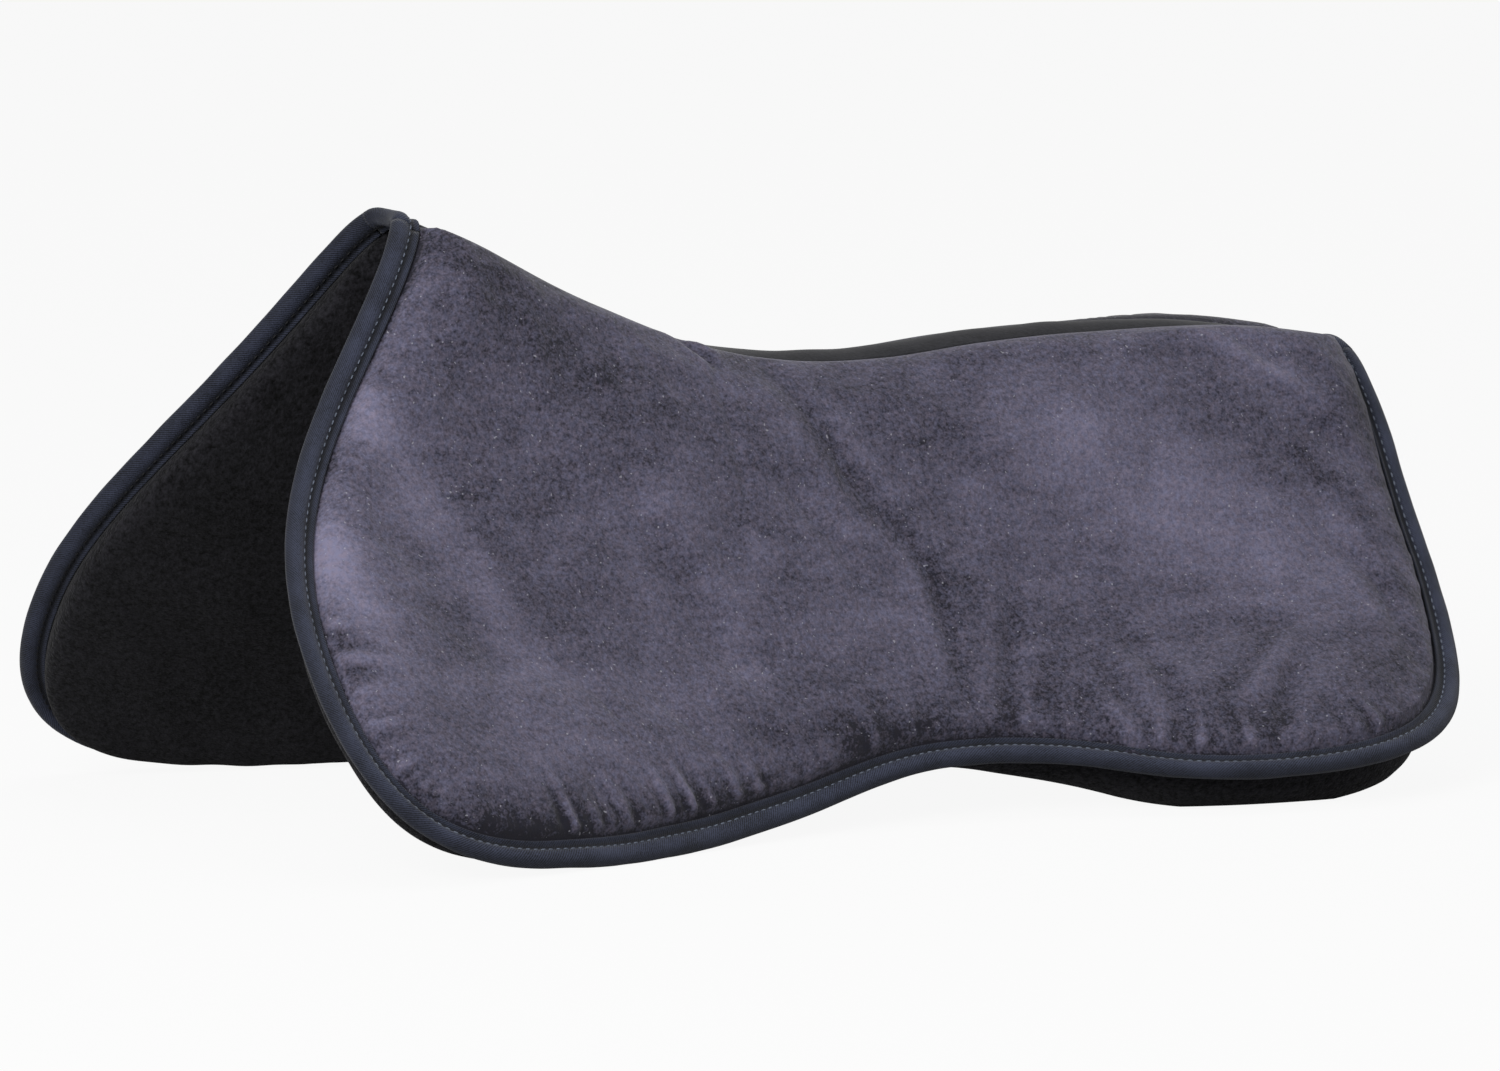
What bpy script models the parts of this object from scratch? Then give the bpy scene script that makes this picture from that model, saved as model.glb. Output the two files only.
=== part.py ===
"""Half pad for under a saddle: two padded wings that hang from an unpadded spine.

Each wing is a suede cover, a foam core and a fleece lining, closed at its free
edge by a folded tape. A plain strip and its lining join the wings over the
spine, and two short lengths of tape close the strip at the pommel and the rear.
X runs from the pommel (-X) to the rear (+X), the horse's left is -Y, and Z is up.
"""

import math
from functools import lru_cache

import bmesh
import bpy
from mathutils import Vector
from mathutils.geometry import delaunay_2d_cdt

# Flat cut of a wing: x along the spine, drop down the wing from the spine line
STRIP_HALF = 0.015
POMMEL_X = -0.187
POMMEL_ROUNDING = 0.003
FLAP_FRONT_X, FLAP_FRONT_DROP = -0.287, 0.243
FLAP_LOW_X, FLAP_LOW_DROP = -0.227, 0.327
WAIST_X, WAIST_DROP = 0.023, 0.214
LOBE_X, LOBE_DROP = 0.177, 0.257
REAR_X, REAR_DROP = 0.293, 0.124
FRONT_EDGE_LEAN = math.radians(25)

# Lengths of the outline's curve handles
FRONT_EDGE_HANDLE, FLAP_FRONT_HANDLE = 0.086, 0.089
FLAP_TURN_HANDLE, FLAP_LOW_HANDLE = 0.043, 0.048
FLAP_REAR_HANDLE, WAIST_FRONT_HANDLE = 0.081, 0.071
WAIST_REAR_HANDLE, LOBE_FRONT_HANDLE = 0.069, 0.085
LOBE_REAR_HANDLE, REAR_HANDLE = 0.1125, 0.003

# Folded shape: spine height, and the wing's slope by the spine and by the hem
SPINE_HEIGHT = ((-0.295, 0.281), (-0.195, 0.2584), (-0.141, 0.2375), (-0.094, 0.2156), (-0.045, 0.196),
                (0.003, 0.1875), (0.051, 0.1878), (0.099, 0.1931), (0.147, 0.196), (0.2135, 0.1953),
                (0.280, 0.1860))
UPPER_SLOPE = ((-0.295, 66.0), (-0.195, 70.0), (-0.045, 64.9), (0.099, 70.8), (0.280, 61.6))
LOWER_SLOPE = ((-0.295, 49.1), (-0.195, 50.6), (-0.045, 55.3), (0.099, 34.8), (0.280, 29.9))
SPINE_ROUNDING = ((-0.195, 0.0160), (0.040, 0.0299), (0.280, 0.0241))
FLARE_START, FLARE_END = 0.067, 0.231

# How far the strip's middle lies below the fold's full height, along the spine
STRIP_SINK = ((-0.187, 0.0038), (-0.150, 0.0045), (-0.100, 0.0050), (-0.060, 0.0035), (-0.020, 0.0010),
              (0.010, 0.0), (0.293, 0.0))

# Cloth and padding
SUEDE_THICKNESS = 0.0012
FLEECE_THICKNESS = 0.0020
SUEDE_CROWN, CROWN_RUN = 0.010, 0.030
FLAP_PADDING, LOBE_PADDING = 0.015, 0.0311

# By the spine seam: run in which the suede climbs to its crown, and how much higher it swells there
SEAM_CROWN_RUN = ((-0.187, 0.014), (-0.150, 0.016), (-0.125, 0.028), (-0.050, 0.030), (0.000, 0.036),
                  (0.050, 0.042), (0.100, 0.036), (0.150, 0.026), (0.200, 0.016), (0.293, 0.013))
SEAM_SWELL = ((-0.187, 0.0030), (-0.160, 0.0020), (-0.135, 0.0), (-0.115, -0.0020), (-0.090, -0.0015),
              (-0.050, 0.0), (0.150, 0.0), (0.190, 0.0013), (0.220, 0.0038), (0.250, 0.0060), (0.293, 0.0065))
SWELL_START, SWELL_END = 0.025, 0.070
PADDING_CHANGE_START, PADDING_CHANGE_END = -0.02, 0.12
SPINE_PADDING_SHARE, SPINE_PADDING_RUN = 0.55, 0.055

# Edge tape, folded round the cloths' edges
TAPE_WIDTH = 0.0112
TAPE_THICKNESS = 0.0008
ROLL_WIDTH, ROLL_HALF_HEIGHT = 0.0075, 0.0038
HEM_INSET = 0.0023

# Clearances between neighbouring pieces
FIT = 0.0003
SEAM_INSET = 0.0015
FLOOR_FLAT = 0.0005

# Hinge line of the fold: x and height at its two ends, the straight line nearest to the spine
FOLD_FRONT, FOLD_REAR = (-0.187, 0.226), (0.293, 0.178)

# Mesh fineness
FRONT_EDGE_STEPS, FLAP_TURN_STEPS, FLAP_REAR_STEPS = 8, 7, 10
WAIST_STEPS, LOBE_STEPS, REAR_STEPS = 6, 9, 5
EDGE_CROWDING = 1.5
SEAM_STEPS = 14
END_STEPS = 6
END_CROWDING = 1.2
SECTION_STEP = 0.003
PROBE = 0.0005
RING_INSETS = (0.003, 0.008, 0.020)
CORE_INSET = 0.0012
INNER_RINGS = (0.38, 0.76)

# Middle line of a wing, on which its innermost faces meet
WING_MIDDLE = ((-0.205, 0.215), (-0.150, 0.160), (-0.075, 0.125), (0.010, 0.115), (0.100, 0.132),
               (0.205, 0.142))

# How the lining climbs its side wall: inset from the tape, share of the padding
LINING_WALL = ((0.0005, 0.0), (-0.0007, 0.50), (0.0006, 0.82), (RING_INSETS[1], 0.97), (RING_INSETS[2], 1.0))

COLOURS = {
    "suede": ((0.074, 0.066, 0.093, 1.0), 0.85),
    "foam": ((0.55, 0.55, 0.52, 1.0), 0.95),
    "fleece": ((0.012, 0.012, 0.014, 1.0), 0.95),
    "tape": ((0.030, 0.040, 0.050, 1.0), 0.70),
    "strip": ((0.032, 0.034, 0.037, 1.0), 0.80),
}


def smooth_through(stations, x):
    """Value at x of the smooth curve through (x, value) stations, straight past the ends."""
    xs = [s[0] for s in stations]
    vs = [s[1] for s in stations]
    last = len(xs) - 1

    def tangent(i):
        lo, hi = max(i - 1, 0), min(i + 1, last)
        return (vs[hi] - vs[lo]) / (xs[hi] - xs[lo])

    if x <= xs[0]:
        return vs[0] + (x - xs[0]) * tangent(0)
    if x >= xs[last]:
        return vs[last] + (x - xs[last]) * tangent(last)
    i = max(k for k in range(last) if xs[k] <= x)
    run = xs[i + 1] - xs[i]
    t = (x - xs[i]) / run
    return (
        (2 * t**3 - 3 * t**2 + 1) * vs[i]
        + (t**3 - 2 * t**2 + t) * run * tangent(i)
        + (3 * t**2 - 2 * t**3) * vs[i + 1]
        + (t**3 - t**2) * run * tangent(i + 1)
    )


def smooth_step(value, start, end):
    """0 before start, 1 after end, and a smooth rise between."""
    t = min(max((value - start) / (end - start), 0.0), 1.0)
    return t * t * (3 - 2 * t)


# The folded surface

@lru_cache(maxsize=None)
def section_shape(x):
    """Spine height, upper slope, lower slope, rounding and strip sink of the section at x."""
    upper = math.radians(smooth_through(UPPER_SLOPE, x))
    lower = math.radians(smooth_through(LOWER_SLOPE, x))
    rounding = max(smooth_through(SPINE_ROUNDING, x), SPINE_ROUNDING[0][1] / 2)
    return smooth_through(SPINE_HEIGHT, x), upper, lower, rounding, smooth_through(STRIP_SINK, x)


@lru_cache(maxsize=None)
def surface(x, drop):
    """Point of the folded hem surface, on the +Y wing for a positive drop."""
    height, upper, lower, rounding, sink = section_shape(x)
    reach = abs(drop)
    steps = max(int(math.ceil(reach / SECTION_STEP)), 1)
    step = reach / steps
    y = z = 0.0
    for k in range(steps):
        s = (k + 0.5) * step
        slope = upper * (1 - math.exp(-s / rounding))
        slope += (lower - upper) * smooth_step(s, FLARE_START, FLARE_END)
        y += math.cos(slope) * step
        z -= math.sin(slope) * step
    sunk = sink * max(1 - (drop / STRIP_HALF) ** 2, 0.0) ** 2
    return Vector((x, math.copysign(y, drop) if reach else 0.0, height + z - sunk))


def place(x, drop, rise):
    """Point that stands off the hem surface by rise, outwards if positive."""
    along = surface(x + PROBE, drop) - surface(x - PROBE, drop)
    down = surface(x, drop + PROBE) - surface(x, drop - PROBE)
    return surface(x, drop) + along.cross(down).normalized() * rise


# The flat outline

def bezier(start, start_handle, end_handle, end, steps, crowding=1.0):
    """Points of a curve from start up to, not including, end, closer at the start if crowded."""
    points = []
    for k in range(steps):
        t = (k / steps) ** crowding
        a, b, c, d = (1 - t) ** 3, 3 * t * (1 - t) ** 2, 3 * t * t * (1 - t), t**3
        points.append(Vector([a * p + b * q + c * r + d * s
                              for p, q, r, s in zip(start, start_handle, end_handle, end)]))
    return points


def free_edge():
    """The wing's taped edge, from the pommel round the flap and the lobe to the rear."""
    pommel = (POMMEL_X, STRIP_HALF)
    flap_front = (FLAP_FRONT_X, FLAP_FRONT_DROP)
    flap_low = (FLAP_LOW_X, FLAP_LOW_DROP)
    waist = (WAIST_X, WAIST_DROP)
    lobe = (LOBE_X, LOBE_DROP)
    rear = (REAR_X, REAR_DROP)
    rear_seam = (REAR_X, STRIP_HALF)
    lean = (-math.sin(FRONT_EDGE_LEAN) * FRONT_EDGE_HANDLE, math.cos(FRONT_EDGE_LEAN) * FRONT_EDGE_HANDLE)

    def moved(point, dx, drop):
        return (point[0] + dx, point[1] + drop)

    points = bezier(pommel, moved(pommel, *lean), moved(flap_front, 0, -FLAP_FRONT_HANDLE), flap_front,
                    FRONT_EDGE_STEPS, EDGE_CROWDING)
    points += bezier(flap_front, moved(flap_front, 0, FLAP_TURN_HANDLE), moved(flap_low, -FLAP_LOW_HANDLE, 0),
                     flap_low, FLAP_TURN_STEPS)
    points += bezier(flap_low, moved(flap_low, FLAP_REAR_HANDLE, 0), moved(waist, -WAIST_FRONT_HANDLE, 0),
                     waist, FLAP_REAR_STEPS)
    points += bezier(waist, moved(waist, WAIST_REAR_HANDLE, 0), moved(lobe, -LOBE_FRONT_HANDLE, 0),
                     lobe, WAIST_STEPS)
    points += bezier(lobe, moved(lobe, LOBE_REAR_HANDLE, 0), moved(rear, 0, REAR_HANDLE), rear, LOBE_STEPS)
    return points + up_the_rear(Vector(rear), Vector(rear_seam))


def up_the_rear(low, high):
    """Points of the straight rear edge, closer together towards the seam."""
    return [high.lerp(low, (1 - k / REAR_STEPS) ** EDGE_CROWDING) for k in range(REAR_STEPS + 1)]


def seam_shares():
    """Shares of the seam's length at which it has points: even ones, and one at each tape's lip."""
    lip = (TAPE_WIDTH + FIT - HEM_INSET) / (REAR_X - POMMEL_X - 2 * HEM_INSET)
    return [lip] + [k / SEAM_STEPS for k in range(1, SEAM_STEPS)] + [1 - lip]


def across_strip():
    """Distances from the spine line to the strip's rows on one side, closest at the line."""
    return [STRIP_HALF * (k / END_STEPS) ** END_CROWDING for k in range(END_STEPS + 1)]


def pommel_end_x(drop):
    """Front end of the spine strip, a shallow arc over the pommel."""
    return POMMEL_X + POMMEL_ROUNDING * (1 - (drop / STRIP_HALF) ** 2)


class WingPlan:
    """Nested closed rings of one wing's flat cut, shared by its cloths and its core."""

    def __init__(self):
        self.taped = free_edge()
        self.loop = self.with_seam(self.taped)
        self.count = len(self.loop)
        self.middle = [Vector(p) for p in WING_MIDDLE]
        self.deepest = [self.inner_ring(share) for share in INNER_RINGS]
        self.fill = self.triangles_inside(self.deepest[-1])

    def with_seam(self, taped):
        """A ring's taped side, closed by the points of its seam side."""
        return taped + [taped[-1].lerp(taped[0], share) for share in seam_shares()]

    def is_taped(self, edge):
        return edge < len(self.taped) - 1

    def offset(self, taped_by, seam_by):
        """The loop moved inwards, by one distance at the tape and by another at the seam."""
        ring = []
        for i, here in enumerate(self.taped):
            before = here - self.loop[i - 1]
            after = self.loop[(i + 1) % self.count] - here
            n0 = Vector((before.y, -before.x)).normalized()
            n1 = Vector((after.y, -after.x)).normalized()
            d0 = taped_by if self.is_taped((i - 1) % self.count) else seam_by
            d1 = taped_by if self.is_taped(i) else seam_by
            turn = n0.x * n1.y - n0.y * n1.x
            if abs(turn) < 0.3:
                ring.append(here + (n0 + n1).normalized() * (d0 + d1) / 2)
            else:
                ring.append(here + Vector((d0 * n1.y - d1 * n0.y, d1 * n0.x - d0 * n1.x)) / turn)
        return self.with_seam(ring[:-1 - REAR_STEPS] + up_the_rear(ring[-1 - REAR_STEPS], ring[-1]))

    def inset(self, distance):
        """The ring that lies inside the tape's lip and the seam by a distance."""
        return self.offset(TAPE_WIDTH + FIT + distance, SEAM_INSET + distance)

    def inner_ring(self, share):
        """A ring part of the way from the last inset ring to the wing's middle line."""
        return [point.lerp(self.nearest_on_middle(point), share) for point in self.inset(RING_INSETS[-1])]

    def nearest_on_middle(self, point):
        best = None
        for a, b in zip(self.middle, self.middle[1:]):
            t = min(max((point - a).dot(b - a) / (b - a).length_squared, 0.0), 1.0)
            near = a.lerp(b, t)
            if best is None or (near - point).length < (best - point).length:
                best = near
        return best

    def triangles_inside(self, ring):
        """Triangles that fill a ring, with the middle line's points among their corners."""
        flat = ring + self.middle
        result = delaunay_2d_cdt(flat, [], [list(range(len(ring)))], 1, 1e-9)
        source = [group[0] for group in result[3]]
        return [tuple(source[v] for v in face) for face in result[2]]

    def depths(self, point):
        """Distances of a point inside the tape's lip and inside the seam."""
        to_tape, to_seam = [], []
        for i, a in enumerate(self.loop):
            b = self.loop[(i + 1) % self.count]
            t = min(max((point - a).dot(b - a) / (b - a).length_squared, 0.0), 1.0)
            (to_tape if self.is_taped(i) else to_seam).append((a.lerp(b, t) - point).length)
        return min(to_tape) - TAPE_WIDTH, min(to_seam) - SEAM_INSET

    def crown(self, point):
        """Height of the suede above its hem, which swells by the seam towards both ends."""
        by_tape, by_seam = self.depths(point)
        swell = smooth_through(SEAM_SWELL, point.x) * (1 - smooth_step(by_seam, SWELL_START, SWELL_END))
        climb = min(by_tape / CROWN_RUN, by_seam / smooth_through(SEAM_CROWN_RUN, point.x))
        t = min(max(climb, 0.0), 1.0)
        return (SUEDE_CROWN + swell) * math.sqrt(1 - (1 - t) ** 2)


def padding(point):
    """Depth that the lining reaches below its hem, away from the edges."""
    along = smooth_step(point.x, PADDING_CHANGE_START, PADDING_CHANGE_END)
    full = FLAP_PADDING + (LOBE_PADDING - FLAP_PADDING) * along
    by_spine = smooth_step(point.y, STRIP_HALF, STRIP_HALF + SPINE_PADDING_RUN)
    return full * (SPINE_PADDING_SHARE + (1 - SPINE_PADDING_SHARE) * by_spine)


# Closed bodies from rings of 3-D points

def closed_body(rings, first_fill, last_fill):
    """Corners and faces of a body: rings joined in order, with both end rings filled."""
    corners, faces, starts = [], [], []
    for ring in rings:
        starts.append(len(corners))
        corners += ring
    for k in range(len(rings) - 1):
        n = min(len(rings[k]), len(rings[k + 1]))
        for i in range(n):
            j = (i + 1) % n
            faces.append((starts[k] + i, starts[k] + j, starts[k + 1] + j, starts[k + 1] + i))
    for fill, start in ((first_fill, starts[0]), (last_fill, starts[-1])):
        faces += [tuple(start + v for v in face) for face in fill]
    return corners, faces


class Wing:
    """Corner points and faces of the four pieces of the +Y wing."""

    def __init__(self, plan):
        self.plan = plan

    def layer(self, ring, rise):
        return [place(p.x, p.y, rise(p)) for p in ring]

    def middle_layers(self, rise):
        """The inner rings and the middle line at a rise, from the outside in."""
        rings = [self.layer(ring, rise) for ring in self.plan.deepest]
        rings[-1] = rings[-1] + self.layer(self.plan.middle, rise)
        return rings

    def suede(self):
        plan, hem = self.plan, FIT / 2
        top = hem + SUEDE_THICKNESS

        def outer(p):
            return top + plan.crown(p)

        def inner(p):
            return hem + plan.crown(p)

        rim, lip = plan.offset(HEM_INSET, FIT / 2), plan.inset(0.0)
        insets = [plan.inset(d) for d in RING_INSETS]
        behind = zip(plan.inset(RING_INSETS[0] + SUEDE_THICKNESS / 2), insets[0])
        rings = self.middle_layers(outer)[::-1]
        rings += [self.layer(ring, outer) for ring in insets[::-1]]
        rings += [self.layer(lip, lambda p: top), self.layer(rim, lambda p: top)]
        rings += [self.layer(rim, lambda p: hem), self.layer(lip, lambda p: hem)]
        rings += [[place(p.x, p.y, inner(front)) for p, front in behind]]
        rings += [self.layer(ring, inner) for ring in insets[1:]] + self.middle_layers(inner)
        return closed_body(rings, plan.fill, plan.fill)

    def fleece(self):
        plan, hem = self.plan, -FIT / 2
        low = hem - FLEECE_THICKNESS
        rim = plan.offset(HEM_INSET, FIT / 2)

        def outer(share):
            return lambda p: low - share * padding(p)

        def inner(share):
            return lambda p: low + FLEECE_THICKNESS - share * padding(p)

        rings = self.middle_layers(outer(1.0))[::-1]
        rings += [self.layer(plan.inset(d), outer(share)) for d, share in LINING_WALL[::-1]]
        rings += [self.layer(rim, lambda p: low), self.layer(rim, lambda p: hem)]
        rings += [self.layer(plan.inset(0.0), lambda p: hem)]
        corner, bend, shoulder = LINING_WALL[0][0], LINING_WALL[1], LINING_WALL[2]
        rings += [self.layer(plan.inset(corner + 0.8 * FLEECE_THICKNESS), lambda p: hem)]
        rings += [self.layer(plan.inset(bend[0] + FLEECE_THICKNESS), lambda p: low - bend[1] * padding(p))]
        rings += [self.layer(plan.inset(shoulder[0] + 0.8 * FLEECE_THICKNESS),
                             lambda p: low + 0.7 * FLEECE_THICKNESS - shoulder[1] * padding(p))]
        rings += [self.layer(plan.inset(d), inner(share)) for d, share in LINING_WALL[3:]]
        rings += self.middle_layers(inner(1.0))
        return closed_body(rings, plan.fill, plan.fill)

    def foam(self):
        plan = self.plan
        rim = plan.inset(LINING_WALL[2][0] + FLEECE_THICKNESS + FIT + CORE_INSET)

        def upper(p):
            return FIT / 2 - FIT + plan.crown(p)

        def lower(share):
            return lambda p: FIT / 2 - share * padding(p)

        insets = [plan.inset(d) for d in RING_INSETS[1:]]
        rings = self.middle_layers(upper)[::-1]
        rings += [self.layer(ring, upper) for ring in insets[::-1]]
        rings += [[place(p.x, p.y, upper(front)) for p, front in zip(rim, plan.inset(RING_INSETS[0]))]]
        rings += [self.layer(rim, lower(LINING_WALL[2][1]))]
        rings += [self.layer(ring, lower(wall[1])) for ring, wall in zip(insets, LINING_WALL[3:])]
        rings += self.middle_layers(lower(1.0))
        return closed_body(rings, plan.fill, plan.fill)


# The folded tape

def tape_section():
    """Outline of the folded tape: inset from its outer edge, and rise off the hem."""
    upper = FIT / 2 + SUEDE_THICKNESS + FIT
    lower = -(FIT / 2 + FLEECE_THICKNESS + FIT)
    roll, high = ROLL_WIDTH, ROLL_HALF_HEIGHT
    throat = HEM_INSET - FIT
    return [
        (TAPE_WIDTH, upper + TAPE_THICKNESS),
        (roll, upper + TAPE_THICKNESS),
        (roll * 0.75, high * 0.88),
        (roll * 0.45, high),
        (roll * 0.15, high * 0.72),
        (0.0, 0.0),
        (roll * 0.15, -high * 0.72),
        (roll * 0.45, -high),
        (roll * 0.75, -high * 0.95),
        (TAPE_WIDTH, lower - TAPE_THICKNESS),
        (TAPE_WIDTH, lower),
        (throat, lower),
        (throat, upper),
        (TAPE_WIDTH, upper),
    ]


def tape_along(path, inwards):
    """A closed length of tape along a flat path, with flat ends."""
    section = tape_section()
    rings = [[place(p.x + n.x * d, p.y + n.y * d, h) for d, h in section] for p, n in zip(path, inwards)]
    return closed_body(rings, [tuple(range(len(section)))], [tuple(range(len(section)))])


def whole_edge():
    """Half of the pad's edge, from mid pommel to mid rear, and its inward normals."""
    front = [Vector((pommel_end_x(drop), drop)) for drop in across_strip()[:-1]]
    rear = [Vector((REAR_X, drop)) for drop in across_strip()[-2::-1]]
    points = front + free_edge() + rear
    normals = [Vector((1.0, 0.0))]
    for before, after in zip(points, points[2:]):
        along = after - before
        normals.append(Vector((along.y, -along.x)).normalized())
    return points, normals + [Vector((-1.0, 0.0))]


def trimmed(points, normals, first, last):
    """A stretch of the edge whose two ends are held back by half a fit."""
    path, inwards = [p.copy() for p in points[first:last + 1]], normals[first:last + 1]
    path[0] = path[0] + (path[1] - path[0]).normalized() * FIT / 2
    path[-1] = path[-1] + (path[-2] - path[-1]).normalized() * FIT / 2
    return path, inwards


def end_tape(points, normals, first, last):
    """A length of tape over the spine, mirrored about the middle of the pad."""
    half, inwards = points[first:last + 1], normals[first:last + 1]
    if first:
        half, inwards = half[::-1], inwards[::-1]
    path = [Vector((p.x, -p.y)) for p in half[:0:-1]] + half
    turned = [Vector((n.x, -n.y)) for n in inwards[:0:-1]] + inwards
    return tape_along(*trimmed(path, turned, 0, len(path) - 1))


def spine_cloth(lower, upper):
    """The strip between the two seams, as one layer of cloth between two rises."""
    half = [min(drop, STRIP_HALF - FIT / 2) for drop in across_strip()]
    rows = [-drop for drop in half[:0:-1]] + half
    shares = [0.0] + seam_shares() + [1.0]
    corners, faces = [], []
    for rise in (upper, lower):
        for share in shares:
            for drop in rows:
                start, end = REAR_X - HEM_INSET, pommel_end_x(drop) + HEM_INSET
                corners.append(place(start + (end - start) * share, drop, rise))
    wide, long = len(rows), len(shares)
    layer = wide * long
    for k in range(long - 1):
        for r in range(wide - 1):
            a = k * wide + r
            faces.append((a, a + 1, a + wide + 1, a + wide))
            faces.append(tuple(layer + v for v in (a, a + wide, a + wide + 1, a + 1)))
    border = [k * wide for k in range(long - 1)] + [(long - 1) * wide + r for r in range(wide - 1)]
    border += [k * wide + wide - 1 for k in range(long - 1, 0, -1)] + list(range(wide - 1, 0, -1))
    for a, b in zip(border, border[1:] + border[:1]):
        faces.append((a, b, layer + b, layer + a))
    return corners, faces


# Placing on the floor

def mirrored(corners):
    return [Vector((p.x, -p.y, p.z)) for p in corners]


def settle(pieces):
    """Lower and level the pad until the flaps' tape and the lobes' lining press into the floor."""
    tape, lining = pieces["edge_binding_right"][0], pieces["fleece_lining_right"][0]
    front = [p for p in tape if p.x < WAIST_X]
    rear = [p for p in lining if p.x > WAIST_X]
    drop = tilt = 0.0
    for _ in range(4):
        low_front = min(front, key=lambda p: p.z + drop + tilt * p.x)
        low_rear = min(rear, key=lambda p: p.z + drop + tilt * p.x)
        tilt = -(low_rear.z - low_front.z) / (low_rear.x - low_front.x)
        drop = -FLOOR_FLAT - low_front.z - tilt * low_front.x
    xs = [p.x for corners, _ in pieces.values() for p in corners]
    centre = (min(xs) + max(xs)) / 2
    for corners, _ in pieces.values():
        for p in corners:
            p.z += drop + tilt * p.x
            p.x -= centre
    fold_front, fold_rear = (Vector((x - centre, 0.0, height + drop + tilt * x))
                             for x, height in (FOLD_FRONT, FOLD_REAR))
    return fold_front, fold_rear


# Blender objects

def material(name, finish):
    colour, roughness = COLOURS[finish]
    made = bpy.data.materials.new(name)
    made.use_nodes = True
    shader = made.node_tree.nodes["Principled BSDF"]
    shader.inputs["Base Color"].default_value = colour
    shader.inputs["Roughness"].default_value = roughness
    shader.inputs["Metallic"].default_value = 0.0
    made.diffuse_color = colour
    return made


def empty(name, location, collection, parent=None):
    made = bpy.data.objects.new(name, None)
    made.location = location
    made.parent = parent
    collection.objects.link(made)
    return made


def piece(name, body, finish, collection, parent, origin):
    """One named object whose mesh is a closed body with its faces pointing out."""
    corners, faces = body
    mesh = bpy.data.meshes.new(name)
    mesh.from_pydata([p - origin for p in corners], [], faces)
    work = bmesh.new()
    work.from_mesh(mesh)
    bmesh.ops.recalc_face_normals(work, faces=work.faces)
    bmesh.ops.triangulate(work, faces=[f for f in work.faces if len(f.verts) > 3])
    work.to_mesh(mesh)
    work.free()
    made = bpy.data.objects.new(name, mesh)
    made.parent = parent
    mesh.materials.append(material(name, finish))
    mesh.shade_smooth()
    mesh.set_sharp_from_angle(angle=math.radians(40))
    collection.objects.link(made)
    return made


def floor_cutter(collection):
    """A block whose top is the floor, which cuts the flats that the pad stands on."""
    bpy.ops.mesh.primitive_cube_add(size=1.0, location=(0.0, 0.0, -0.5))
    cutter = bpy.context.active_object
    cutter.name = "floor_cutter"
    for old in list(cutter.users_collection):
        old.objects.unlink(cutter)
    collection.objects.link(cutter)
    cutter.hide_render = True
    cutter.display_type = "WIRE"
    return cutter


def cut_flat(target, cutter):
    cut = target.modifiers.new("floor_flat", "BOOLEAN")
    cut.operation = "DIFFERENCE"
    cut.solver = "EXACT"
    cut.object = cutter


def main():
    for old in list(bpy.data.objects):
        bpy.data.objects.remove(old, do_unlink=True)
    parts = bpy.data.collections.new("half_pad")
    cutters = bpy.data.collections.new("cutters")
    for made in (parts, cutters):
        bpy.context.scene.collection.children.link(made)

    wing = Wing(WingPlan())
    points, normals = whole_edge()
    pieces = {
        "suede_cover_right": wing.suede(),
        "foam_core_right": wing.foam(),
        "fleece_lining_right": wing.fleece(),
        "edge_binding_right": tape_along(*trimmed(points, normals, END_STEPS, len(points) - 1 - END_STEPS)),
        "spine_strip": spine_cloth(FIT / 2, FIT / 2 + SUEDE_THICKNESS),
        "spine_lining": spine_cloth(-FIT / 2 - FLEECE_THICKNESS, -FIT / 2),
        "pommel_binding": end_tape(points, normals, 0, END_STEPS),
        "rear_binding": end_tape(points, normals, len(points) - 1 - END_STEPS, len(points) - 1),
    }
    fold_front, fold_rear = settle(pieces)
    fold_middle = (fold_front + fold_rear) / 2
    print("fold axis through", tuple(round(v, 5) for v in fold_middle),
          "along", tuple(round(v, 5) for v in (fold_rear - fold_front).normalized()))

    cutter = floor_cutter(cutters)
    left = empty("left_wing", (0.0, 0.0, 0.0), parts)
    right = empty("right_wing", fold_middle, parts, parent=left)
    finishes = {"suede_cover": "suede", "foam_core": "foam", "fleece_lining": "fleece", "edge_binding": "tape"}
    for kind, finish in finishes.items():
        corners, faces = pieces[kind + "_right"]
        made = [
            piece(kind + "_right", (corners, faces), finish, parts, right, fold_middle),
            piece(kind + "_left", (mirrored(corners), faces), finish, parts, left, Vector()),
        ]
        if kind in ("fleece_lining", "edge_binding"):
            for target in made:
                cut_flat(target, cutter)
    spine = {"spine_strip": "strip", "spine_lining": "fleece", "pommel_binding": "tape", "rear_binding": "tape"}
    for name, finish in spine.items():
        piece(name, pieces[name], finish, parts, left, Vector())


main()
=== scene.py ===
"""Half pad in its soft form: suede wings, fleece lining, twill edge tape and lockstitching."""

import logging
import math
from dataclasses import dataclass
from enum import Enum

import bpy
import numpy as np
from bpy.types import Material, Node, NodeSocket, NodeTree, Object
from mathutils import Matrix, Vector
from mathutils.geometry import delaunay_2d_cdt
from mathutils.kdtree import KDTree


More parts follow.
